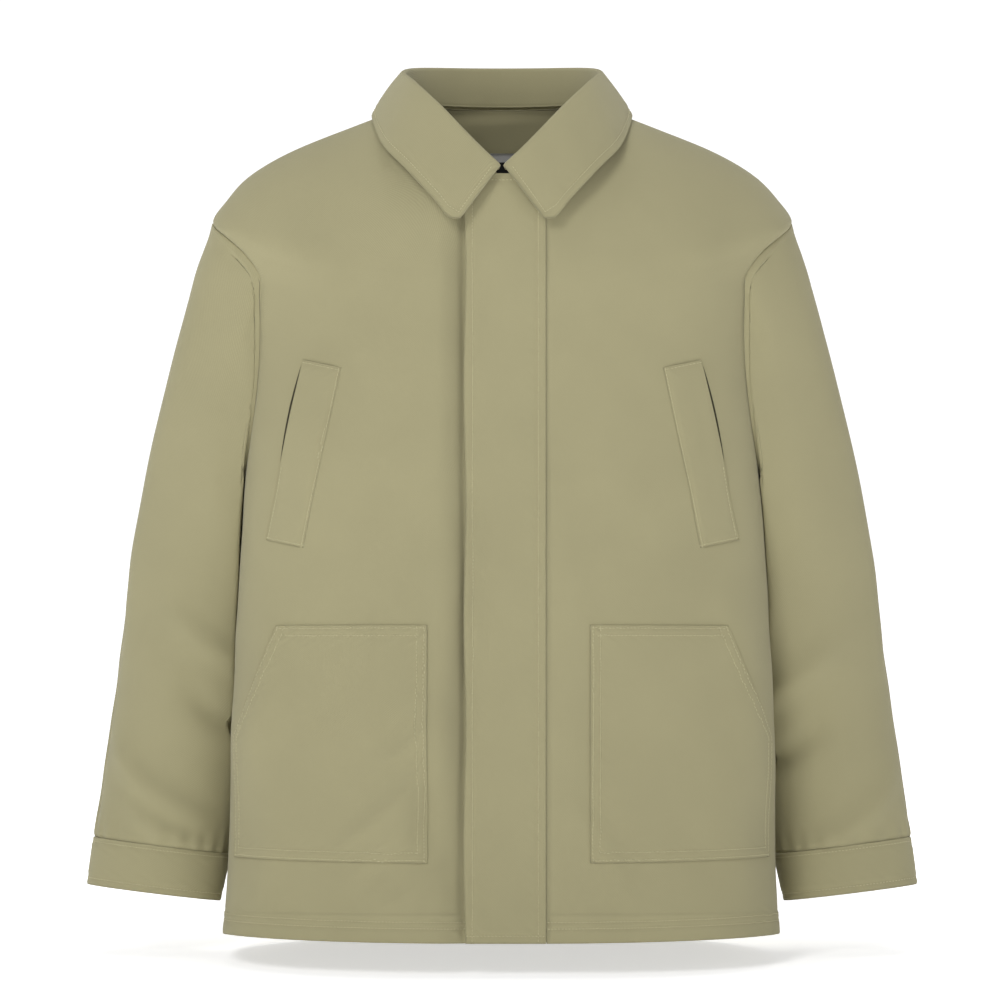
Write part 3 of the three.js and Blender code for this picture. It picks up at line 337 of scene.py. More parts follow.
# ---- Collar ----
FOLD_SIDE_X = NECK_HALF_WIDTH + 6
FOLD_FRONT_Z = -FRONT_NECK_DROP + 6
FOLD_TOP_Z = BACK_NECK_RISE + COLLAR_STAND
FALL_SIDE_Z = -8
FALL_SIDE_X = NECK_HALF_WIDTH + 35
FOLD_SHARE = 0.34
fold_x = curve([
    [0, 0], [0.15, FOLD_SIDE_X * 0.46], [0.3, FOLD_SIDE_X * 0.84], [0.5, FOLD_SIDE_X],
    [0.66, FOLD_SIDE_X * 0.88], [0.8, FOLD_SIDE_X * 0.61], [0.92, FOLD_SIDE_X * 0.26], [1, 1.4],
])
fold_y = curve([
    [0, BACK_NECK_DEPTH + 8], [0.15, BACK_NECK_DEPTH + 1], [0.3, BACK_NECK_DEPTH * 0.66], [0.5, 0],
    [0.66, -FRONT_NECK_DEPTH * 0.5], [0.8, -FRONT_NECK_DEPTH * 0.82], [0.92, -FRONT_NECK_DEPTH - 3],
    [1, -FRONT_NECK_DEPTH - 9],
])


def fold_rise(share):
    return mix(FOLD_FRONT_Z, FOLD_TOP_Z, share)


def fall_drop(share):
    return mix(FALL_SIDE_Z, -COLLAR_POINT_DROP, share)


fold_z = curve([
    [0, FOLD_TOP_Z], [0.3, fold_rise(0.99)], [0.5, fold_rise(0.93)], [0.66, fold_rise(0.82)],
    [0.8, fold_rise(0.58)], [0.92, fold_rise(0.23)], [1, FOLD_FRONT_Z],
])
fall_x = curve([
    [0, 0], [0.15, (NECK_HALF_WIDTH + 12) * 0.54], [0.3, NECK_HALF_WIDTH + 12], [0.5, FALL_SIDE_X],
    [0.66, mix(COLLAR_POINT_X, FALL_SIDE_X, 0.88)], [0.8, mix(COLLAR_POINT_X, FALL_SIDE_X, 0.59)],
    [0.92, mix(COLLAR_POINT_X, FALL_SIDE_X, 0.27)], [0.97, mix(COLLAR_POINT_X, FALL_SIDE_X, 0.13)],
    [1, COLLAR_POINT_X],
])
fall_y = curve([
    [0, BACK_NECK_DEPTH + 36], [0.15, BACK_NECK_DEPTH + 32], [0.3, BACK_NECK_DEPTH + 14], [0.5, 4],
    [0.66, -FRONT_NECK_DEPTH * 0.68], [0.8, -FRONT_NECK_DEPTH - 2], [0.92, -FRONT_NECK_DEPTH - 13],
    [1, -FRONT_NECK_DEPTH - 17],
])
fall_z = curve([
    [0, FOLD_TOP_Z - COLLAR_FALL], [0.3, FOLD_TOP_Z - COLLAR_FALL + 12], [0.5, FALL_SIDE_Z],
    [0.66, fall_drop(0.3)], [0.8, fall_drop(0.56)], [0.92, fall_drop(0.85)],
    [0.97, fall_drop(0.99)], [1, -COLLAR_POINT_DROP],
])


def collar_point(turn, width):
    at = np.abs(turn)
    seam = body(np.maximum(PI * (1 - at), angle_at(3, 0)), 0.0)
    seam[..., 2] += 2.6
    fold = point(fold_x(at), fold_y(at), fold_z(at))
    fall = point(fall_x(at), fall_y(at), fall_z(at))
    out = point(np.sin(PI * at), np.cos(PI * at), 0)
    on_stand = width < FOLD_SHARE
    t = np.clip(np.where(on_stand, width / FOLD_SHARE, (width - FOLD_SHARE) / (1 - FOLD_SHARE)), 0, 1)
    p = np.where(on_stand[..., None], mix(seam, fold, t[..., None]), mix(fold, fall, t[..., None]))
    p = p + out * (np.sin(PI * t) * np.where(on_stand, -1.5, 1.4))[..., None]
    p[..., 0] *= np.where(turn < 0, -1, 1)
    return p


def collar(turn, width):
    turn, width = np.broadcast_arrays(turn, width)
    reach = 0.045 * ease(0, 0.12, width) * (1 - ease(0.88, 1, width))
    return sum(collar_point(turn, width + reach * k) for k in (-1, -0.5, 0, 0.5, 1)) / 5


# ---- Soft folds, the same on everything that lies on the front or the back ----
# Each fold: its two ends as x and z, its width and its height.
FRONT_FOLDS = [
    (-214, -262, -150, -380, 30, 0.8), (-206, -250, -196, -430, 28, -0.9),
    (212, -262, 150, -372, 30, 0.8), (208, -250, 196, -430, 28, -0.8), (-62, -596, -140, -680, 10, 1.0),
    (-60, -640, -134, -726, 9, -0.9), (-60, -556, -104, -604, 9, 0.8), (-58, -690, -112, -742, 8, 0.7),
    (64, -640, 120, -724, 10, 0.6), (-60, -560, -110, -700, 26, 2.2), (-84, -590, -48, -730, 20, -2.2),
    (-44, -380, -58, -560, 20, 1.6), (-215, -470, -228, -620, 20, 1.8), (215, -460, 232, -600, 20, 1.8),
    (60, -420, 66, -600, 18, 1.2), (-190, -120, -150, -190, 26, 1.4), (190, -120, 150, -190, 26, 1.4),
    (-236, -620, -246, -740, 20, -2.0), (236, -640, 246, -750, 20, -2.0),
    (-120, -150, -90, -330, 34, 1.2), (120, -150, 96, -330, 34, 1.1),
]
BACK_FOLDS = [
    (-200, -240, -130, -330, 26, 2.6), (200, -236, 134, -330, 26, 2.4),
    (-190, -300, -176, -470, 24, -2.2), (190, -300, 180, -460, 24, -2.2),
    (-90, -160, -60, -420, 34, 2.0), (86, -170, 70, -420, 34, 1.8), (-110, -480, -134, -720, 30, 2.4),
    (96, -500, 140, -720, 30, 2.2), (0, -420, 10, -640, 40, -1.8), (-210, -560, -226, -720, 24, 2.2),
    (206, -560, 226, -700, 24, 2.2),
]


FOLD_DEPTH = 2.7


def fold_field(x, z, folds):
    total = np.zeros(np.broadcast(x, z).shape)
    for x0, z0, x1, z1, width, height in folds:
        length = math.hypot(x1 - x0, z1 - z0)
        dx, dz = (x1 - x0) / length, (z1 - z0) / length
        along = (x - x0) * dx + (z - z0) * dz
        across = (x - x0) * dz - (z - z0) * dx
        bend = across + 5 * np.sin(along / length * PI * 1.3)
        ends = ease(-0.35, 0.3, along / length) * (1 - ease(0.65, 1.35, along / length))
        total = total + FOLD_DEPTH * height * np.exp(-((bend / width) ** 2)) * ends
    return total


# How far the shell stands off its smooth surface, along its normal.
def body_relief(p):
    x, y, z = p[..., 0], p[..., 1], p[..., 2]
    forward = 1 - ease(-25, 25, y - widest_depth(np.minimum(z, 0)))
    calm = 1 - 0.8 * ease(-120, -30, z)
    soft = fold_field(x, z, FRONT_FOLDS) * forward + fold_field(x, z, BACK_FOLDS) * (1 - forward)
    side = ease(170, 235, np.abs(x)) * (1 - ease(-420, -300, z))
    soft = soft + side * 1.6 * waves(y * 1.4, z * 0.45, 150, 3)
    soft = soft + 0.9 * waves(x, z * 0.55, 170, 1) + 0.35 * waves(x, z, 64, 4)
    hem = bump(HEM_Z + 30, 10, z)
    soft = soft + 0.35 * hem * np.sin(x / 9.0 + 1.3 * np.sin(x / 37.0))
    return soft * calm


# ---- Meshes ----
def normals_of(p, wraps=False):
    if wraps:
        du = np.roll(p, -1, 1) - np.roll(p, 1, 1)
    else:
        du = np.gradient(p, axis=1)
    dv = np.gradient(p, axis=0)
    return unit(np.cross(du, dv))


def new_object(name, co, faces, material, uv=None):
    mesh = bpy.data.meshes.new(name)
    mesh.from_pydata([], [], [])
    quads = np.asarray(faces, np.int32)
    mesh.vertices.add(len(co))
    mesh.vertices.foreach_set("co", (np.asarray(co) * MM).astype(np.float32).ravel())
    mesh.loops.add(quads.size)
    mesh.loops.foreach_set("vertex_index", quads.ravel())
    mesh.polygons.add(len(quads))
    mesh.polygons.foreach_set("loop_start", np.arange(0, quads.size, quads.shape[1], dtype=np.int32))
    mesh.polygons.foreach_set("loop_total", np.full(len(quads), quads.shape[1], np.int32))
    if uv is not None:
        layer = mesh.uv_layers.new(name="cloth")
        layer.data.foreach_set("uv", uv[quads.ravel()].astype(np.float32).ravel())
    mesh.update()
    mesh.validate()
    mesh.polygons.foreach_set("use_smooth", np.ones(len(mesh.polygons), bool))
    mesh.materials.append(material)
    obj = bpy.data.objects.new(name, mesh)
    bpy.context.scene.collection.objects.link(obj)
    return obj


# A grid's lengths along its rows and columns, as flat cloth coordinates in metres.
def flat_uv(p):
    du = np.linalg.norm(np.diff(p, axis=1, prepend=p[:, :1]), axis=-1).cumsum(1)
    dv = np.linalg.norm(np.diff(p, axis=0, prepend=p[:1]), axis=-1).cumsum(0)
    centre = du[:, du.shape[1] // 2][:, None]
    return np.stack([du - centre, dv], -1) * MM


# A closed sheet of cloth round the grid p. thick is its thickness, edge the share kept at its rim.
def cloth(name, p, thick, material, wraps=False, edge=0.45, outer_extra=None):
    rows, cols = p.shape[:2]
    n = normals_of(p, wraps)
    half = np.full((rows, cols), thick / 2)
    half[0] *= edge
    half[-1] *= edge
    if not wraps:
        half[:, 0] *= edge
        half[:, -1] *= edge
    out_offset = half if outer_extra is None else half + outer_extra
    faces = (p + n * out_offset[..., None], p - n * half[..., None])
    co = np.concatenate([face.reshape(-1, 3) for face in faces])
    uv = flat_uv(p).reshape(-1, 2)
    index = np.arange(rows * cols).reshape(rows, cols)
    a, b = (index, np.roll(index, -1, 1)) if wraps else (index[:, :-1], index[:, 1:])
    outer = np.stack([a[:-1], b[:-1], b[1:], a[1:]], -1).reshape(-1, 4)
    inner = outer[:, ::-1] + rows * cols
    m = rows * cols
    rims = []
    for row, flip in ((0, True), (-1, False)):
        quad = np.stack([a[row], b[row], b[row] + m, a[row] + m], -1)
        rims.append(quad[:, ::-1] if flip else quad)
    if not wraps:
        for col, flip in ((0, False), (-1, True)):
            c0, c1 = index[:-1, col], index[1:, col]
            quad = np.stack([c0, c1, c1 + m, c0 + m], -1)
            rims.append(quad[:, ::-1] if flip else quad)
    rims = [quad[:, ::-1] for quad in rims]
    return new_object(name, co, np.concatenate([outer, inner, *rims]), material, np.concatenate([uv, uv]))


# Puts a piece on a body, in place of nodes.
def dress(obj, body_name, slot, *nodes):
    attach(obj, body_name)
    if nodes:
        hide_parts(*nodes)
    return obj


# Distance from each point to a line of points.
def distance_to(p, line):
    flat = p.reshape(-1, 3)
    best = np.full(len(flat), 1e9)
    low, high = line.min(0) - 14, line.max(0) + 14
    near = ((flat > low) & (flat < high)).all(1)
    if near.any():
        q = flat[near]
        found = np.full(len(q), 1e9)
        for a, b in zip(line[:-1], line[1:]):
            d = b - a
            t = np.clip(((q - a) @ d) / max(d @ d, 1e-9), 0, 1)
            found = np.minimum(found, np.linalg.norm(q - a - t[:, None] * d, axis=1))
        best[near] = found
    return best.reshape(p.shape[:2])


def measured(line):
    step = np.linalg.norm(np.diff(line, axis=0), axis=1)
    return np.concatenate([[0], step.cumsum()])


def resample(line, spacing):
    at = measured(line)
    count = max(int(at[-1] / spacing), 2)
    want = np.linspace(0, at[-1], count)
    return np.stack([np.interp(want, at, line[:, k]) for k in range(3)], -1)


STITCH = 3.1
STITCH_GAP = 0.8
THREAD = 0.36
STITCH_REACH = 12 # how far off the line its host's face may lie


# Lockstitches along the lines, lying on the outer face of the host piece.
def stitches(name, host, lines, material, outward):
    co = np.array([v.co for v in host.data.vertices]) / MM
    tree = BVHTree.FromPolygons(
        [tuple(c) for c in co], [tuple(f.vertices) for f in host.data.polygons], all_triangles=False
    )
    rings = [(-0.5, 0.4), (-0.3, 0.95), (0.3, 0.95), (0.5, 0.4)]
    sides = 5
    turn = np.arange(sides) * 2 * PI / sides
    all_co, all_faces = [], []
    for line in lines:
        line = np.asarray(line)
        spots = resample(line, STITCH)
        ahead = unit(np.gradient(spots, axis=0))
        for k in range(len(spots)):
            away = unit(outward(spots[k]))
            normal = np.array(tree.find_nearest(Vector(spots[k]))[1])
            out = normal * np.sign(normal @ away) if abs(normal @ away) > 0.5 else away
            above = Vector(spots[k] + out * STITCH_REACH)
            place, normal, _, _ = tree.ray_cast(above, Vector(-out), 2 * STITCH_REACH)
            if place is None:
                continue
            normal = np.array(normal)
            way = ahead[k] - normal * (ahead[k] @ normal)
            way = way / max(np.linalg.norm(way), 1e-6)
            side = np.cross(normal, way)
            centre = np.array(place) + normal * THREAD * 0.35
            base = len(all_co) * len(rings) * sides
            block = []
            for along, wide in rings:
                sink = normal * (-THREAD * 0.9 * (abs(along) > 0.4))
                block.append(
                    centre
                    + way * along * (STITCH - STITCH_GAP)
                    + sink
                    + (np.cos(turn)[:, None] * side + np.sin(turn)[:, None] * normal) * THREAD * wide
                )
            all_co.append(np.concatenate(block))
            for r in range(len(rings) - 1):
                for s in range(sides):
                    t = (s + 1) % sides
                    here, there = base + r * sides, base + (r + 1) * sides
                    all_faces.append((here + s, here + t, there + t, there + s))
    return new_object(name, np.concatenate(all_co), all_faces, material)


# The dent that a row of stitches pulls into the cloth, with a light pucker along it.
def dent(p, lines, depth=0.55, width=2.2, pucker=0.18):
    total = np.zeros(p.shape[:2])
    for line in lines:
        d = distance_to(p, line)
        total -= depth * np.exp(-((d / width) ** 2))
        ripple = np.sin(p[..., 2] * 0.75 + p[..., 0] * 0.5) * np.sin(p[..., 2] * 0.19 + p[..., 0] * 0.13)
        total += pucker * np.exp(-(((d - 5) / 5) ** 2)) * ripple
    return total


# ---- Materials ----
def node_material(name):
    material = bpy.data.materials.new(name)
    material.use_nodes = True
    return material, material.node_tree.nodes["Principled BSDF"]


# A shader node with its settings. A value given as a socket is linked, any other is set.
def add(material, kind, settings=(), **inputs):
    node = material.node_tree.nodes.new("ShaderNode" + kind)
    for key, value in dict(settings).items():
        setattr(node, key, value)
    for key, value in inputs.items():
        wire(material, node, key.replace("_", " "), value)
    return node


def wire(material, node, key, value):
    socket = node.inputs[key]
    if isinstance(value, bpy.types.NodeSocket):
        material.node_tree.links.new(value, socket)
    else:
        socket.default_value = value


def position_in(material):
    return add(material, "TexCoord").outputs["Object"]


# A blend of two colours, wired to the shader's colour.
def two_colors(material, shader, first, second, share):
    blend = add(material, "Mix", {"data_type": "RGBA"}, A=(*first, 1), B=(*second, 1), Factor=share)
    wire(material, shader, "Base Color", blend.outputs["Result"])


def cloth_material(name, color, weave=1.0, mottle=0.07, uv=True):
    material, shader = node_material(name)
    shader.inputs["Roughness"].default_value = 0.92
    shader.inputs["Specular IOR Level"].default_value = 0.18
    shader.inputs["Sheen Weight"].default_value = 0.12
    shader.inputs["Sheen Roughness"].default_value = 0.6
    source = add(material, "UVMap", {"uv_map": "cloth"}).outputs["UV"] if uv else position_in(material)
    twill = add(
        material, "TexWave", {"wave_type": "BANDS", "bands_direction": "DIAGONAL"},
        Scale=420 * weave, Distortion=0.6, Detail=1.0, Detail_Scale=2.0, Vector=source,
    )
    slub = add(material, "TexNoise", Scale=900 * weave, Detail=2, Vector=source)
    broad = add(material, "TexNoise", Scale=9, Detail=3, Vector=position_in(material))
    yarns = scaled(material, slub.outputs["Fac"], 0.5, twill.outputs["Fac"])
    fine = scaled(material, yarns, 0.32, 0.0)
    share = scaled(material, broad.outputs["Fac"], 0.55, fine)
    dark = [c * (1 - mottle * 2.2) for c in color]
    light = [min(1, c * (1 + mottle * 1.6)) for c in color]
    two_colors(material, shader, dark, light, share)
    grain = add(material, "Bump", Strength=0.22, Distance=0.0004, Height=yarns)
    wire(material, shader, "Normal", grain.outputs["Normal"])
    return material


# a * factor + rest, as a socket.
def scaled(material, a, factor, rest):
    node = add(material, "Math", {"operation": "MULTIPLY_ADD"})
    for key, value in enumerate((a, factor, rest)):
        wire(material, node, key, value)
    return node.outputs[0]


# The cloth's colour changes to another one below a height in metres.
def two_toned(material, lower, height):
    shader = material.node_tree.nodes["Principled BSDF"]
    upper = shader.inputs["Base Color"].links[0].from_socket
    split = add(material, "SeparateXYZ", Vector=position_in(material))
    above = add(material, "Math", {"operation": "GREATER_THAN"})
    wire(material, above, 0, split.outputs["Z"])
    wire(material, above, 1, height)
    both = add(material, "Mix", {"data_type": "RGBA"}, A=(*lower, 1), B=upper, Factor=above.outputs[0])
    wire(material, shader, "Base Color", both.outputs["Result"])


def metal_material(name, color, roughness):
    material, shader = node_material(name)
    shader.inputs["Metallic"].default_value = 1.0
    noise = add(material, "TexNoise", Scale=700, Detail=3, Vector=position_in(material)).outputs["Fac"]
    spread = add(
        material, "MapRange", To_Min=roughness * 0.75, To_Max=roughness * 1.35, Value=noise
    )
    wire(material, shader, "Roughness", spread.outputs["Result"])
    two_colors(material, shader, [c * 0.85 for c in color], color, noise)
    return material


def plastic_material(name, color):
    material, shader = node_material(name)
    shader.inputs["Roughness"].default_value = 0.45
    noise = add(material, "TexNoise", Scale=600, Vector=position_in(material)).outputs["Fac"]
    two_colors(material, shader, [c * 0.8 for c in color], [c * 1.2 for c in color], noise)
    return material


KHAKI = (0.345, 0.317, 0.183)
SHELL = cloth_material("shell_twill", KHAKI)
INSIDE = cloth_material("inner_cotton", [c * 0.93 for c in KHAKI], weave=1.3)
THREAD_MATERIAL = cloth_material("thread", (0.52, 0.48, 0.30), weave=3, uv=False, mottle=0.02)
# Painted shade: near-black cloth for the sheets under the welts' open edges.
SHADE = cloth_material("painted_mouth_shade", (0.05, 0.046, 0.028), weave=1.3)
LABEL_GREY = (0.50, 0.50, 0.49)
LABEL_DARK = (0.012, 0.012, 0.012)
LABEL = cloth_material("label_tape", LABEL_GREY, weave=1.6)
two_toned(LABEL, LABEL_DARK, -0.050)
TAPE = cloth_material("zip_tape", (0.022, 0.022, 0.02), weave=0.9, mottle=0.12)
TEETH = plastic_material("zip_teeth", (0.02, 0.02, 0.018))
ZIP_METAL = metal_material("zip_metal", (0.42, 0.41, 0.39), 0.32)
STUD_METAL = metal_material("stud_metal", (0.38, 0.37, 0.34), 0.36)


def spaced(start, end, step):
    return np.linspace(0, 1, max(int(abs(end - start) / step), 2) + 1)


def grid(u, v):
    return np.meshgrid(u, v)


# Settles a smooth grid into cloth: folds, then the dents of its seams.
def settle(p, lines=(), relief=body_relief, extra=0, wraps=False, **dents):
    n = normals_of(p, wraps)
    move = relief(p) + extra
    if len(lines):
        move = move + dent(p, lines, **dents)
    return p + n * move[..., None]


STEP = 3.0
V = spaced(0, 1050, STEP)


def push_outer(distance):
    return lambda spot: np.array([0, -distance, 0])


def at_front(x, z, lift=0):
    p = front(x, z)
    p[..., 1] -= lift
    return p


# ---- Front panels ----
DIP_START_X = FLAP_EDGE_X - 26
RIGHT_EDGE_X = ZIP_X - ZIP_REVEAL
LEFT_EDGE_X = ZIP_X + ZIP_REVEAL
SPLIT = 0.8


def right_dip(x):
    return UNDERLAP * ease(DIP_START_X, FLAP_EDGE_X, x) + 2.0 * bump(FLAP_EDGE_X - 1, 4, x)


def right_front(u, v):
    row = ROW_KEYS(v)
    in_dip = np.clip((u - SPLIT) / (1 - SPLIT), 0, 1)
    dip_angle = angle_at(-mix(DIP_START_X, RIGHT_EDGE_X, in_dip), row)
    p = body(np.where(u < SPLIT, mix(front_edge(row), dip_angle, np.minimum(u / SPLIT, 1)), dip_angle), row)
    p[..., 0] *= -1
    p[..., 1] += right_dip(p[..., 0])
    return p


def left_front(u, v):
    row = ROW_KEYS(v)
    return body(mix(angle_at(FLAP_SEAM_X + 0.3, row), front_edge(row), u), row)


def back_panel(u, v):
    row = ROW_KEYS(v)
    start = back_edge(row)
    turn = mix(start, 2 * PI - start, u)
    p = body(np.where(turn > PI, 2 * PI - turn, turn), row)
    p[..., 0] *= np.where(turn > PI, -1, 1)
    return p


# A line across a panel map at a height above the hem, found from its own grid.
def hem_line(panel, above, count=160):
    u = np.linspace(0.004, 0.996, count)
    return resample(panel(u, np.full(count, above / 1.0)), 4)


def row_share(z):
    v = np.linspace(0, 1, 2001)
    return float(np.interp(z, ROW_KEYS(v), v))


HEM_STITCH = 19
HEM_STITCH_2 = 25


def hem_lines(panel):
    return [hem_line(panel, row_share(HEM_Z + h)) for h in (HEM_STITCH, HEM_STITCH_2)]


# The seams sink a little, and the cloth beside them rolls into them.
def seam_dent(p, line, depth=1.3, width=2.6):
    return -depth * np.exp(-((distance_to(p, line) / width) ** 2))


def armhole_line(side):
    line = armhole(np.linspace(0, 1, 260))
    line[:, 0] *= side
    return line


def shoulder_line(side):
    row = np.linspace(SHOULDER_Z, 0, 90)
    line = body(np.full_like(row, PI / 2), row)
    line[:, 0] *= side
    return line


def side_line(side):
    row = np.linspace(HEM_Z, UNDERARM_Z, 120)
    line = body(np.full_like(row, np.radians(SIDE_SEAM)), row)
    line[:, 0] *= side
    return line


WELT_TILT = math.atan(WELT_LEAN / WELT_LENGTH)


def welt_point(along, across):
    x = WELT_TOP_X + WELT_LEAN * along - across * math.cos(WELT_TILT)
    z = -WELT_TOP_DROP - WELT_LENGTH * math.cos(WELT_TILT) * along - across * math.sin(WELT_TILT)
    return front(x, z)


U_FRONT = spaced(0, 250, STEP)
U_BACK = spaced(0, 640, STEP)
V_BODY = np.unique(np.concatenate([V, np.linspace(row_share(HEM_Z), row_share(HEM_Z + 34), 18)]))

# The hem is turned up inside, so the cloth is thicker below its stitching.
def hem_turn(p):
    return 0.7 * (1 - ease(HEM_Z + HEM_STITCH_2, HEM_Z + HEM_STITCH_2 + 3, p[..., 2]))


def panel(name, shape, u, sides, replaces, flat):
    uu, vv = grid(u, V_BODY)
    p = shape(uu, vv)
    hems = hem_lines(shape)
    seams = np.zeros(p.shape[:2])
    for side in sides:
        seams = np.minimum(seams, seam_dent(p, armhole_line(side)))
        seams = np.minimum(seams, seam_dent(p, shoulder_line(side), 0.9))
        seams = np.minimum(seams, seam_dent(p, side_line(side), 0.9))
    q = settle(p, hems, extra=seams, pucker=0.12)
    obj = cloth(name, q, CLOTH, SHELL, outer_extra=hem_turn(p))
    dress(obj, "root", "shell_cloth", *replaces)
    thread = stitches(name + "_stitches", obj, hems, THREAD_MATERIAL, outward_from_axis)
    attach(thread, "root")
    return obj


# Straight out from the body, as if it were an ellipse.
def outward_from_axis(spot):
    return unit(np.array([spot[0] / 240**2, (spot[1] - widest_depth(min(spot[2], 0))) / 95**2, 0]))


RIGHT_COLUMNS = np.concatenate([np.linspace(0, SPLIT, 64)[:-1], np.linspace(SPLIT, 1, 26)])
panel("right_front_cloth", right_front, RIGHT_COLUMNS, [-1], ["right_front_panel"], (0.30, 0.80))
panel("left_front_cloth", left_front, U_FRONT, [1], ["left_front_panel"], (0.27, 0.80))
panel("back_cloth", back_panel, U_BACK, [-1, 1], ["back_panel"], (0.70, 0.82))


# ---- Sleeves and cuffs ----
# Elbow and drag folds, as turn and share of the sleeve for both ends, a width and a height.
SLEEVE_FOLDS = [
    (0.30, 0.02, 0.36, 0.40, 15, 3.0), (0.40, 0.05, 0.42, 0.45, 14, -3.2),
    (0.22, 0.30, 0.40, 0.52, 14, 2.2), (0.20, 0.52, 0.42, 0.62, 13, 2.4),
    (0.26, 0.66, 0.44, 0.72, 12, -2.2), (0.10, 0.78, 0.34, 0.90, 13, 2.2),
    (0.16, 0.88, 0.40, 0.95, 10, 1.8), (0.60, 0.10, 0.70, 0.50, 16, 2.4),
    (0.66, 0.45, 0.54, 0.62, 14, 2.6), (0.72, 0.60, 0.56, 0.72, 14, -2.2),
    (0.80, 0.76, 0.62, 0.92, 12, 2.2), (0.06, 0.10, 0.04, 0.55, 18, 1.4),
    (0.95, 0.15, 0.92, 0.60, 18, 1.4),
]


def sleeve_relief(turn, s, side):
    x = turn * 400
    z = s * RING_LENGTH
    total = np.zeros(x.shape)
    for t0, s0, t1, s1, width, height in SLEEVE_FOLDS:
        sway = 0.03 * side
        one = (t0 * 400, (s0 + sway) * RING_LENGTH, t1 * 400, (s1 + sway) * RING_LENGTH, width, height)
        total = total + fold_field(x, z, [one])
    total = total + 1.5 * waves(x * 0.8, z * 0.5, 150, 5 + side) + 0.5 * waves(x, z, 60, 8 + side)
    gather = ease(0.86, CUFF_START, s) * (1 - ease(CUFF_START, CUFF_START + 0.01, s))
    total = total + 0.9 * gather * np.sin(turn * 2 * PI * 19 + 2 * np.sin(turn * 2 * PI * 3))
    return total * ease(0, 0.06, s)


def mirror(p, side):
    q = p.copy()
    q[..., 0] *= side
    return q


def ring_line(s, side, count=200):
    turn = np.linspace(0, 1, count)
    return mirror(sleeve(turn, np.full(count, s)), side)


U_SLEEVE = np.arange(132) / 132
V_SLEEVE = spaced(0, 480, STEP)


def sleeve_pieces(side_name, side):
    s = mix(CUFF_START, -0.012, V_SLEEVE)
    s = np.unique(np.concatenate([s, np.linspace(-0.012, 0.03, 12)]))[::-1]
    uu, ss = grid(U_SLEEVE, s)
    turn = 1 - uu
    p = sleeve(turn, np.maximum(ss, 0))
    inward = ease(0, -0.012, ss) * 5
    tucked = point(-0.75, 0, -0.35)
    p = p + tucked * inward[..., None]
    seams = -0.8 * np.exp(-(((ss - CUFF_START) * RING_LENGTH / 2.4) ** 2))
    under = np.minimum(np.abs(turn - 0.5), 1) * 400
    seams = seams - 0.7 * np.exp(-((under / 2.6) ** 2)) * ease(0, 0.05, ss)
    n = normals_of(p, True)
    by_body = ease(0.14, 0.26, turn) * (1 - ease(0.72, 0.84, turn)) * (1 - ease(0.42, 0.56, ss))
    folds = sleeve_relief(turn, ss, side) * (1 - 0.85 * by_body)
    q = p + n * ((folds + seams) * ease(-0.001, 0.004, ss))[..., None]
    beside = beside_body(q[..., 1], q[..., 2], CLOTH + 0.6)
    room = beside + 0.9 * body_relief(mirror(q, side)) - q[..., 0]
    q[..., 0] += np.where(beside > 0, np.maximum(room, 0), 0) * ease(0.01, 0.05, ss)
    q = mirror(q, side)
    if side < 0:
        q = q[:, ::-1]
    obj = cloth(side_name + "_sleeve_cloth", q, CLOTH, SHELL, wraps=True)
    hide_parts(side_name + "_sleeve_head", side_name + "_sleeve")
    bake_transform(obj)

    s = mix(1, CUFF_START + 0.0008, spaced(0, CUFF_HEIGHT, 2.0))
    uu, ss = grid(U_SLEEVE, s)
    turn = 1 - uu
    p = sleeve(turn, ss)
    n = normals_of(p, True)
    lines = [ring_line(CUFF_START + 4 / RING_LENGTH, side), ring_line(1 - 6.5 / RING_LENGTH, side)]
    move = 0.8 + 0.35 * waves(turn * 400, ss * RING_LENGTH, 90, 11 + side)
    q = mirror(p + n * move[..., None], side)
    if side < 0:
        q = q[:, ::-1]
    q = settle(q, lines, relief=lambda r: np.zeros(r.shape[:2]), wraps=True, depth=0.6, pucker=0.3)
    cuff = cloth(side_name + "_cuff_cloth", q, 2.4, SHELL, wraps=True)
    dress(cuff, side_name + "_sleeve", "shell_cloth", side_name + "_cuff")
    axis_line = mirror(point(CUFF_END[0] - CUFF_HALF_WIDTH, 22, CUFF_END[1]), side)

    def outward(spot):
        away = (spot - axis_line) * np.array([1, 1, 0])
        return unit(away) * 3

    thread = stitches(side_name + "_cuff_stitches", cuff, lines, THREAD_MATERIAL, outward)
    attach(thread, side_name + "_sleeve")


sleeve_pieces("left", 1)
sleeve_pieces("right", -1)

# ---- Collar ----
WIDTHS = curve([[0, 0], [0.25, 0.24], [0.4, 0.32], [0.6, 0.4], [0.75, 0.56], [1, 1]])
uu, vv = grid(np.linspace(1, -1, 221), WIDTHS(1 - np.linspace(0, 1, 57)))
p = collar(uu, vv)


def collar_path(points):
    path = np.array(points, float)
    at = np.linspace(0, len(path) - 1, 60 * (len(path) - 1) + 1)
    i = np.minimum(at.astype(int), len(path) - 2)
    f = (at - i)[:, None]
    both = path[i] * (1 - f) + path[i + 1] * f
    return collar(both[:, 0], both[:, 1])


TURN_IN = 0.985
collar_stitch = collar_path([[TURN_IN, 0.42], [TURN_IN, 0.925], [-TURN_IN, 0.925], [-TURN_IN, 0.42]])
roll = 0.5 * waves(uu * 260, vv * 90, 120, 6) * ease(0.3, 0.6, vv)
q = settle(
    p, [collar_stitch], relief=lambda r: np.zeros(r.shape[:2]), extra=roll, depth=0.7, width=2.4, pucker=0.2
)
obj = cloth("collar_cloth", q, 2.7, SHELL, edge=0.5)
dress(obj, "root", "shell_cloth", "top_collar", "under_collar")


def away_from_neck(spot):
    return unit((spot - np.array([0, 0, spot[2]]))) * 3


thread = stitches("collar_stitches", obj, [collar_stitch], THREAD_MATERIAL, away_from_neck)
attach(thread, "root")


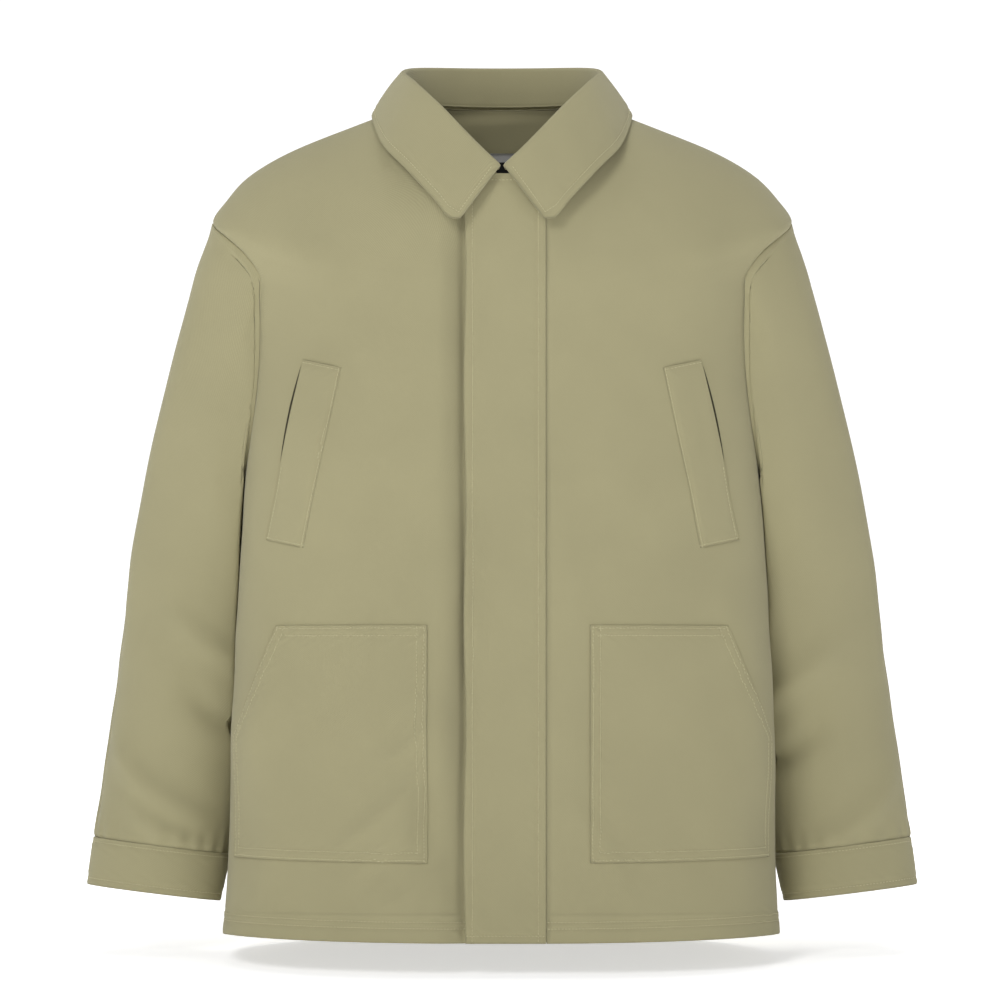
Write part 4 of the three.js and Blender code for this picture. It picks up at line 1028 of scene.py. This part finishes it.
# ---- Neck facing, label ----
def inner_patch(name, half, low, high, offset, thick, material, relief, replaces, slot):
    u = spaced(0, 2 * half, STEP)
    v = spaced(low, high, STEP)
    uu, vv = grid(u, v)
    p = back(mix(half, -half, uu), mix(low, high, vv))
    n = normals_of(p)
    tuck = (offset + 0.6) * ease(-14, -3, p[..., 2])
    q = p + n * (offset - tuck + relief(p))[..., None]
    obj = cloth(name, q, thick, material)
    dress(obj, "root", slot, replaces)
    return obj


def facing_relief(p):
    z = p[..., 2]
    return 1.1 * waves(p[..., 0], z * 1.3, 60, 2) * ease(0, -14, z) * ease(-104, -80, z)


inner_patch(
    "neck_facing_cloth",
    NECK_HALF_WIDTH - 1,
    -NECK_FACING_DEPTH,
    1.5,
    -3.8,
    1.2,
    INSIDE,
    facing_relief,
    "neck_facing",
    "facing_cloth",
)
inner_patch(
    "neck_label_tape",
    LABEL_WIDTH / 2,
    -LABEL_DROP - LABEL_HEIGHT,
    -LABEL_DROP,
    -5.8,
    0.7,
    LABEL,
    lambda p: 0 * p[..., 0],
    "neck_label",
    "label_tape",
)

# ---- Storm flap ----
FLAP_TOP_Z = -FRONT_NECK_DROP - 1


def flap_wave(p):
    free = 1 - ease(FLAP_EDGE_X, FLAP_EDGE_X + 26, p[..., 0])
    z = p[..., 2]
    wave = 1.5 * np.sin(z / 17.0 + 1.4 * np.sin(z / 61.0)) + 1.0 * np.sin(z / 41.0 + 0.6)
    return free * (1.2 + wave * 0.55) * ease(-70, -130, z)


def flap_shape(x, z):
    p = at_front(x, z)
    p[..., 0] += 0.9 * np.sin(p[..., 2] / 33.0) * (1 - ease(FLAP_EDGE_X, FLAP_EDGE_X + 30, x))
    return p


u = np.linspace(FLAP_EDGE_X, FLAP_SEAM_X, 38)
v = np.linspace(HEM_Z, FLAP_TOP_Z, 300)
xx, zz = grid(u, v)
p = flap_shape(xx, zz)
z_line = np.linspace(HEM_Z + 3, FLAP_TOP_Z - 2, 260)
FLAP_TOP_STITCH = -FRONT_NECK_DROP - 7
lines = [
    at_front(np.full_like(z_line, FLAP_EDGE_X + 7), z_line),
    at_front(np.full_like(z_line, FLAP_SEAM_X - 7), z_line),
    at_front(np.linspace(FLAP_EDGE_X + 2, FLAP_SEAM_X - 2, 30), np.full(30, HEM_Z + 7)),
    at_front(np.linspace(FLAP_EDGE_X + 2, FLAP_SEAM_X - 2, 30), np.full(30, FLAP_TOP_STITCH)),
]
q = settle(p, lines, extra=flap_wave(p), depth=0.6, pucker=0.25)
obj = cloth("storm_flap_cloth", q, 1.9, SHELL)
thread = stitches("storm_flap_stitches", obj, lines, THREAD_MATERIAL, push_outer(3))
for piece in (obj, thread):
    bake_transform(piece)
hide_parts("storm_flap", "storm_flap_head")


# ---- Under the flap: placket, facings, tapes ----
TAPE_DIP = UNDERLAP + CLOTH / 2 + 0.8 + TAPE_THICKNESS / 2
FACING_DIP = TAPE_DIP + TAPE_THICKNESS / 2 + 0.8 + 0.6
LINE_TOP_Z = -FRONT_NECK_DROP - ZIP_TOP_GAP
LINE_FOOT_Z = HEM_Z + 1


def front_strip(name, x0, x1, dip, thick, material, replaces, slot, flat, foot=LINE_FOOT_Z, inset=None):
    xs = np.linspace(x0, x1, max(int((x1 - x0) / 2.2), 4))
    zs = np.linspace(foot, LINE_TOP_Z, 230)
    xx, zz = grid(xs, zs)
    p = front(xx, zz)
    n = normals_of(p)
    p[..., 1] += dip(xx)
    relief = body_relief(p) * 0.4
    q = p + n * relief[..., None]
    lines = []
    if inset is not None:
        z = np.linspace(foot + 3, LINE_TOP_Z - 3, 240)
        line = front(np.full_like(z, inset), z)
        line[:, 1] += dip(inset)
        lines = [line]
        q = q + n * dent(p, lines)[..., None]
    obj = cloth(name, q, thick, material)
    dress(obj, "root", slot, replaces)
    if lines:
        thread = stitches(name + "_stitches", obj, lines, THREAD_MATERIAL, push_outer(3))
        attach(thread, "root")
    return obj


def level_dip(depth):
    return lambda x: depth + 0 * x


def left_dip(x):
    return mix(UNDERLAP, CLOTH + 0.8, ease(FLAP_SEAM_X - 16, FLAP_SEAM_X, x))


def left_facing_dip(x):
    return mix(FACING_DIP, CLOTH / 2 + 1.4, ease(FLAP_SEAM_X - 16, FLAP_SEAM_X + 24, x))


TAPE_FOOT = HEM_Z + ZIP_BOTTOM_GAP + 8
STRIPS = [
    (
        "zip_placket_cloth", LEFT_EDGE_X, FLAP_SEAM_X - 1, left_dip, CLOTH, SHELL,
        "left_zip_placket", "shell_cloth", (0.034, 0.71), LINE_FOOT_Z, LEFT_EDGE_X + 3,
    ),
    (
        "left_facing_cloth", LEFT_EDGE_X, FLAP_SEAM_X + 16, left_facing_dip, 1.2, INSIDE,
        "left_front_facing", "facing_cloth", (0.05, 0.71),
    ),
    (
        "right_facing_cloth", FLAP_EDGE_X + 4, RIGHT_EDGE_X, level_dip(FACING_DIP), 1.2, INSIDE,
        "right_front_facing", "facing_cloth", (0.027, 0.71),
    ),
    (
        "left_tape_cloth", ZIP_X + 3.5, ZIP_X + TAPE_WIDTH, level_dip(TAPE_DIP), 0.8, TAPE,
        "left_zip_tape", "zip_tape", (0.0125, 0.68), TAPE_FOOT,
    ),
    (
        "right_tape_cloth", ZIP_X - TAPE_WIDTH, ZIP_X - 3.5, level_dip(TAPE_DIP), 0.8, TAPE,
        "right_zip_tape", "zip_tape", (0.0125, 0.68), TAPE_FOOT,
    ),
]
for strip in STRIPS:
    front_strip(*strip)


# ---- Patch pockets ----
POCKET_LOW_Z = HEM_Z + POCKET_HEM_GAP
SLANT_FOOT = 1 - POCKET_SLANT_HEIGHT / POCKET_HEIGHT
POCKET_FULLNESS = 3.0


def pocket_shape(inner, u, v):
    z = mix(POCKET_LOW_Z, POCKET_LOW_Z + POCKET_HEIGHT, v)
    outer = mix(POCKET_BASE_OUTER_X, POCKET_TOP_OUTER_X, np.clip((v - SLANT_FOOT) / (1 - SLANT_FOOT), 0, 1))
    limit = side_half_width(z) * 0.98
    start, end = angle_at(inner, z), angle_at(np.minimum(outer, limit), z)
    steps = np.linspace(0, 1, 25)
    path = body(mix(start[..., None], end[..., None], steps), z[..., None] + 0 * steps)
    gone = np.linalg.norm(np.diff(path, axis=-2, prepend=path[..., :1, :]), axis=-1).cumsum(-1)
    width = gone[..., -1]
    want = np.clip(u * width, 0, width * (1 - 1e-9))
    k = np.clip((gone <= want[..., None]).sum(-1) - 1, 0, len(steps) - 2)
    low = np.take_along_axis(gone, k[..., None], -1)[..., 0]
    high = np.take_along_axis(gone, k[..., None] + 1, -1)[..., 0]
    share = (k + (want - low) / (high - low)) / (len(steps) - 1)
    return body(mix(start, end, share), z), width


def path_on(shape, points, count=70):
    path = np.array(points, float)
    pieces = []
    for a, b in zip(path[:-1], path[1:]):
        t = np.linspace(0, 1, count)
        pieces.append(shape(mix(a[0], b[0], t), mix(a[1], b[1], t)))
    return np.concatenate(pieces)


def pocket(side_name, side):
    inner = POCKET_INNER_X[side_name]

    # A point so far in from the inner edge, or with a minus from the outer one.
    def inset_at(across, v):
        _, width = pocket_shape(inner, np.zeros_like(v), v)
        return pocket_shape(inner, np.where(across < 0, 1 + across / width, across / width), v)[0]

    uu, vv = grid(np.linspace(0, 1, 110), np.unique(np.concatenate([np.linspace(0, 1, 130), [SLANT_FOOT]])))
    p, width = pocket_shape(inner, uu, vv)
    dv = 1 / POCKET_HEIGHT
    rows = []
    for inset in (2.6, 9.2):
        low, high = inset * dv, 1 - inset * dv
        for edge in (inset, -inset):
            rows.append(path_on(inset_at, [[edge, 1 - 2 * dv], [edge, SLANT_FOOT], [edge, low]]))
        for v in (low, high):
            share = np.linspace(inset / 170, 1 - inset / 170, 90)
            rows.append(pocket_shape(inner, share, np.full(90, v))[0])
    pinned = np.sin(PI * np.clip(uu, 0, 1)) ** 0.5 * np.sin(PI * vv) ** 0.5
    mouth = np.sin(PI * np.clip((vv - SLANT_FOOT) / (1 - SLANT_FOOT), 0, 1))
    open_edge = 0.9 * mouth * ease(0.7, 1, uu)
    fullness = 0.8 + 0.25 * waves(uu * 180, vv * 210, 120, 9)
    lift = CLOTH / 2 + 0.75 + POCKET_FULLNESS * pinned * fullness + open_edge
    turned = 0.35 * (
        (1 - ease(9.5, 12, uu * width))
        + (1 - ease(9.5, 12, (1 - uu) * width))
        + (1 - ease(9.5, 12, vv * POCKET_HEIGHT))
        + (1 - ease(9.5, 12, (1 - vv) * POCKET_HEIGHT))
    )
    n = normals_of(p)
    q = mirror(p, side)
    relief = body_relief(q)
    dents = dent(p, rows, depth=0.5, width=2.2, pucker=0.1)
    q = p + n * (lift + relief + dents)[..., None]
    q = mirror(q, side)
    extra = np.clip(turned, 0, 0.4)
    if side < 0:
        q, extra = q[:, ::-1], extra[:, ::-1]
    obj = cloth(side_name + "_pocket_cloth", q, 1.2, SHELL, outer_extra=extra, edge=0.4)
    dress(obj, "root", "shell_cloth", side_name + "_patch_pocket")
    lines = [mirror(line, side) for line in rows]
    thread = stitches(side_name + "_pocket_stitches", obj, lines, THREAD_MATERIAL, outward_from_axis)
    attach(thread, "root")


pocket("left", 1)
pocket("right", -1)

# ---- Chest welts and pocket bags ----
def welt(side_name, side):
    uu, vv = grid(np.linspace(WELT_WIDTH, 0, 25), np.linspace(1, 0, 90))
    p = welt_point(vv, uu)

    def line(points):
        return path_on(lambda a, b: welt_point(a, b), points)

    t = 5 / WELT_LENGTH
    rows = [
        line([[0.995, WELT_WIDTH - 2.2], [0.005, WELT_WIDTH - 2.2]]),
        line([[t * 0.5, WELT_WIDTH - 1], [t * 0.5, 1]]),
        line([[1 - t * 0.5, WELT_WIDTH - 1], [1 - t * 0.5, 1]]),
        line([[0.6, 2.2], [0.985, 2.2]]),
    ]
    gape = np.sin(PI * np.clip((0.72 - vv) / 0.72, 0, 1)) ** 0.7 * (1 - ease(0, 14, uu))
    plump = np.sin(PI * vv) ** 0.5 * np.sin(PI * uu / WELT_WIDTH) ** 0.5
    lift = CLOTH / 2 + 0.9 * ease(WELT_WIDTH, WELT_WIDTH - 6, uu) + 0.9 * plump + 1.2 * gape
    n = normals_of(p)
    relief = body_relief(mirror(p, side))
    q = mirror(p + n * (lift + relief + dent(p, rows, depth=0.4, width=1.6, pucker=0.12))[..., None], side)
    if side < 0:
        q = q[:, ::-1]
    obj = cloth(side_name + "_welt_cloth", q, 1.5, SHELL, edge=0.4)
    dress(obj, "root", "shell_cloth", side_name + "_chest_welt")
    lines = [mirror(row, side) for row in rows]
    thread = stitches(side_name + "_welt_stitches", obj, lines, THREAD_MATERIAL, outward_from_axis)
    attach(thread, "root")

    reach, over = 92, 8
    past = over / WELT_LENGTH
    uu, vv = grid(np.linspace(reach, -over, 36), np.linspace(1 + 2 * past, -past, 60))
    p = welt_point(vv, uu)
    s = (reach - uu) / (reach + over)
    t = (vv + over / WELT_LENGTH) / (1 + 3 * over / WELT_LENGTH)
    hollow = 9 * np.sin(PI * s**1.3) * np.sin(PI * np.clip(t, 0, 1)) ** 0.6
    n = normals_of(p)
    relief = body_relief(mirror(p, side))
    q = mirror(p + n * (-CLOTH / 2 - 3.2 - hollow + relief)[..., None], side)
    if side < 0:
        q = q[:, ::-1]
    bag = cloth(side_name + "_pocket_bag_cloth", q, 1.2, INSIDE)
    dress(bag, "root", "facing_cloth", side_name + "_chest_pocket_bag")


# A thin near-black sheet of painted shade, lying under the welt's open edge where the pocket's mouth is in
# shadow.
def mouth(side_name, side):
    reach = 2.6
    uu, vv = grid(np.append(np.linspace(11, 0, 8), -reach), np.linspace(0.6, 0.02, 60))
    uu = uu + reach * (1 - np.sin(PI * np.clip((0.6 - vv) / 0.58, 0, 1)) ** 0.6) * (uu < 0)
    p = welt_point(vv, uu)
    n = normals_of(p)
    relief = body_relief(mirror(p, side))
    q = mirror(p + n * (CLOTH / 2 + 0.35 + relief)[..., None], side)
    if side < 0:
        q = q[:, ::-1]
    obj = cloth(side_name + "_painted_mouth_shade", q, 0.5, SHADE)
    dress(obj, "root", "facing_cloth")


for side_name, side in (("left", 1), ("right", -1)):
    welt(side_name, side)
    mouth(side_name, side)

# ---- Zip and studs ----
for node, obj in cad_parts.items():
    if node.startswith("press_"):
        obj.data.materials.clear()
        obj.data.materials.append(STUD_METAL)
    if node in ("zip_slider", "zip_tab"):
        obj.data.materials.clear()
        obj.data.materials.append(ZIP_METAL)
    if node in ("zip_retainer_box", "zip_insertion_pin") or node.endswith("_top_stop"):
        obj.data.materials.clear()
        obj.data.materials.append(TEETH)


def teeth(side_name, side):
    low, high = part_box(side_name + "_zip_teeth")
    top = np.array([0, -FRONT_NECK_DEPTH, -FRONT_NECK_DROP], float)
    down = np.array([0, -math.sin(FRONT_TILT), -math.cos(FRONT_TILT)])
    inward = np.array([0, math.cos(FRONT_TILT), -math.sin(FRONT_TILT)])
    start = (-FRONT_NECK_DROP - high.z / MM) / math.cos(FRONT_TILT) + 1
    end = (-FRONT_NECK_DROP - low.z / MM) / math.cos(FRONT_TILT) - 1
    co, faces = [], []
    pitch = 2.6
    for k in range(int((end - start) / pitch)):
        at = start + (k + (0.5 if side < 0 else 0.0)) * pitch
        centre = top + down * at + inward * TAPE_DIP + np.array([ZIP_X + side * 2.0, 0, 0])
        base = len(co)
        for w, h, d in ((-1.2, 0.95, 1.4), (-0.4, 0.95, 1.5), (0.9, 0.6, 1.2), (1.2, 0.4, 0.9)):
            for a, b in ((-1, -1), (1, -1), (1, 1), (-1, 1)):
                co.append(centre + np.array([-side * w, 0, 0]) + down * a * h + inward * b * d)
        for r in range(3):
            for c in range(4):
                e = (c + 1) % 4
                faces.append((base + r * 4 + c, base + r * 4 + e, base + r * 4 + 4 + e, base + r * 4 + 4 + c))
        faces.append((base + 3, base + 2, base + 1, base))
        faces.append((base + 12, base + 13, base + 14, base + 15))
    obj = new_object(side_name + "_teeth_moulded", np.array(co), faces, TEETH)
    obj.data.polygons.foreach_set("use_smooth", np.zeros(len(obj.data.polygons), bool))
    dress(obj, "root", "zip_teeth", side_name + "_zip_teeth")


teeth("left", 1)
teeth("right", -1)

# ---- Stage, light and camera ----
# The floor falls gently towards the front under the jacket and is level before and behind it.
FLOOR_Z = HEM_Z - 4 # under the back of the hem
BACK_HEM_Y = 90
FLOOR_RISE = math.tan(math.radians(7))
SLOPE_START, SLOPE_END = -420, 260


def stage_material():
    material, shader = node_material("stage")
    shader.inputs["Base Color"].default_value = (0.93, 0.93, 0.93, 1)
    shader.inputs["Roughness"].default_value = 1.0
    shader.inputs["Specular IOR Level"].default_value = 0.0
    shader.inputs["Emission Color"].default_value = (1, 1, 1, 1)
    away = add(material, "VectorMath", {"operation": "LENGTH"}, Vector=position_in(material))
    glow = add(
        material, "MapRange",
        From_Min=1.0, From_Max=2.6, To_Min=0.54, To_Max=1.1, Value=away.outputs["Value"],
    )
    wire(material, shader, "Emission Strength", glow.outputs["Result"])
    return material


def stage():
    depth = np.concatenate([[-30000], np.linspace(SLOPE_START, SLOPE_END, 24), [60000]])
    level = 60
    soft = np.clip(depth, SLOPE_START + level, SLOPE_END - level)
    xs = np.array([-40000.0, 40000.0])
    xx, yy = np.meshgrid(xs, depth)
    _, zz = np.meshgrid(xs, FLOOR_Z + (soft - BACK_HEM_Y) * FLOOR_RISE)
    co = np.stack([xx, yy, zz], -1).reshape(-1, 3)
    faces = [(2 * i, 2 * i + 1, 2 * i + 3, 2 * i + 2) for i in range(len(depth) - 1)]
    obj = new_object("backdrop", co, faces, stage_material())


stage()


def area_light(name, place, aim, size, power):
    data = bpy.data.lights.new(name, "AREA")
    data.shape = "RECTANGLE"
    data.size, data.size_y = size
    data.energy = power
    obj = bpy.data.objects.new(name, data)
    obj.location = place
    obj.rotation_euler = (Vector(aim) - Vector(place)).to_track_quat("-Z", "Y").to_euler()
    bpy.context.scene.collection.objects.link(obj)


area_light("key", (-1.6, -3.6, 2.1), (0, 0, -0.4), (1.6, 1.6), 76)
area_light("fill", (2.8, -4.0, 0.6), (0, 0, -0.4), (2.6, 2.6), 11)
area_light("front", (0, -6.0, -0.2), (0, 0, -0.4), (2.0, 2.0), 21)
area_light("top", (0, 0.6, 3.2), (0, 0, -0.6), (2.4, 2.4), 53)
area_light("back_left", (-2.6, 2.0, 1.2), (0, 0, -0.3), (2.0, 2.0), 16)
area_light("back_right", (2.6, 1.8, 1.2), (0, 0, -0.3), (2.0, 2.0), 16)

world = bpy.data.worlds.new("studio")
world.use_nodes = True
world_links = world.node_tree.links
world.node_tree.nodes["Background"].inputs["Color"].default_value = (1, 1, 1, 1)
# Lights the jacket softly, and is white where it is seen.
seen = world.node_tree.nodes.new("ShaderNodeLightPath")
strength = world.node_tree.nodes.new("ShaderNodeMapRange")
strength.inputs["To Min"].default_value = 0.19
strength.inputs["To Max"].default_value = 1.1
world_links.new(seen.outputs["Is Camera Ray"], strength.inputs["Value"])
world_links.new(strength.outputs["Result"], world.node_tree.nodes["Background"].inputs["Strength"])
bpy.context.scene.world = world
bpy.context.scene.view_settings.view_transform = "Standard"

camera_data = bpy.data.cameras.new("camera")
camera_data.lens = 388.2
camera_data.sensor_width = 36
camera = bpy.data.objects.new("camera", camera_data)
camera.location = (0.0018, -10.0, -0.3666)
camera.rotation_euler = (PI / 2, 0, 0)
bpy.context.scene.collection.objects.link(camera)
bpy.context.scene.camera = camera
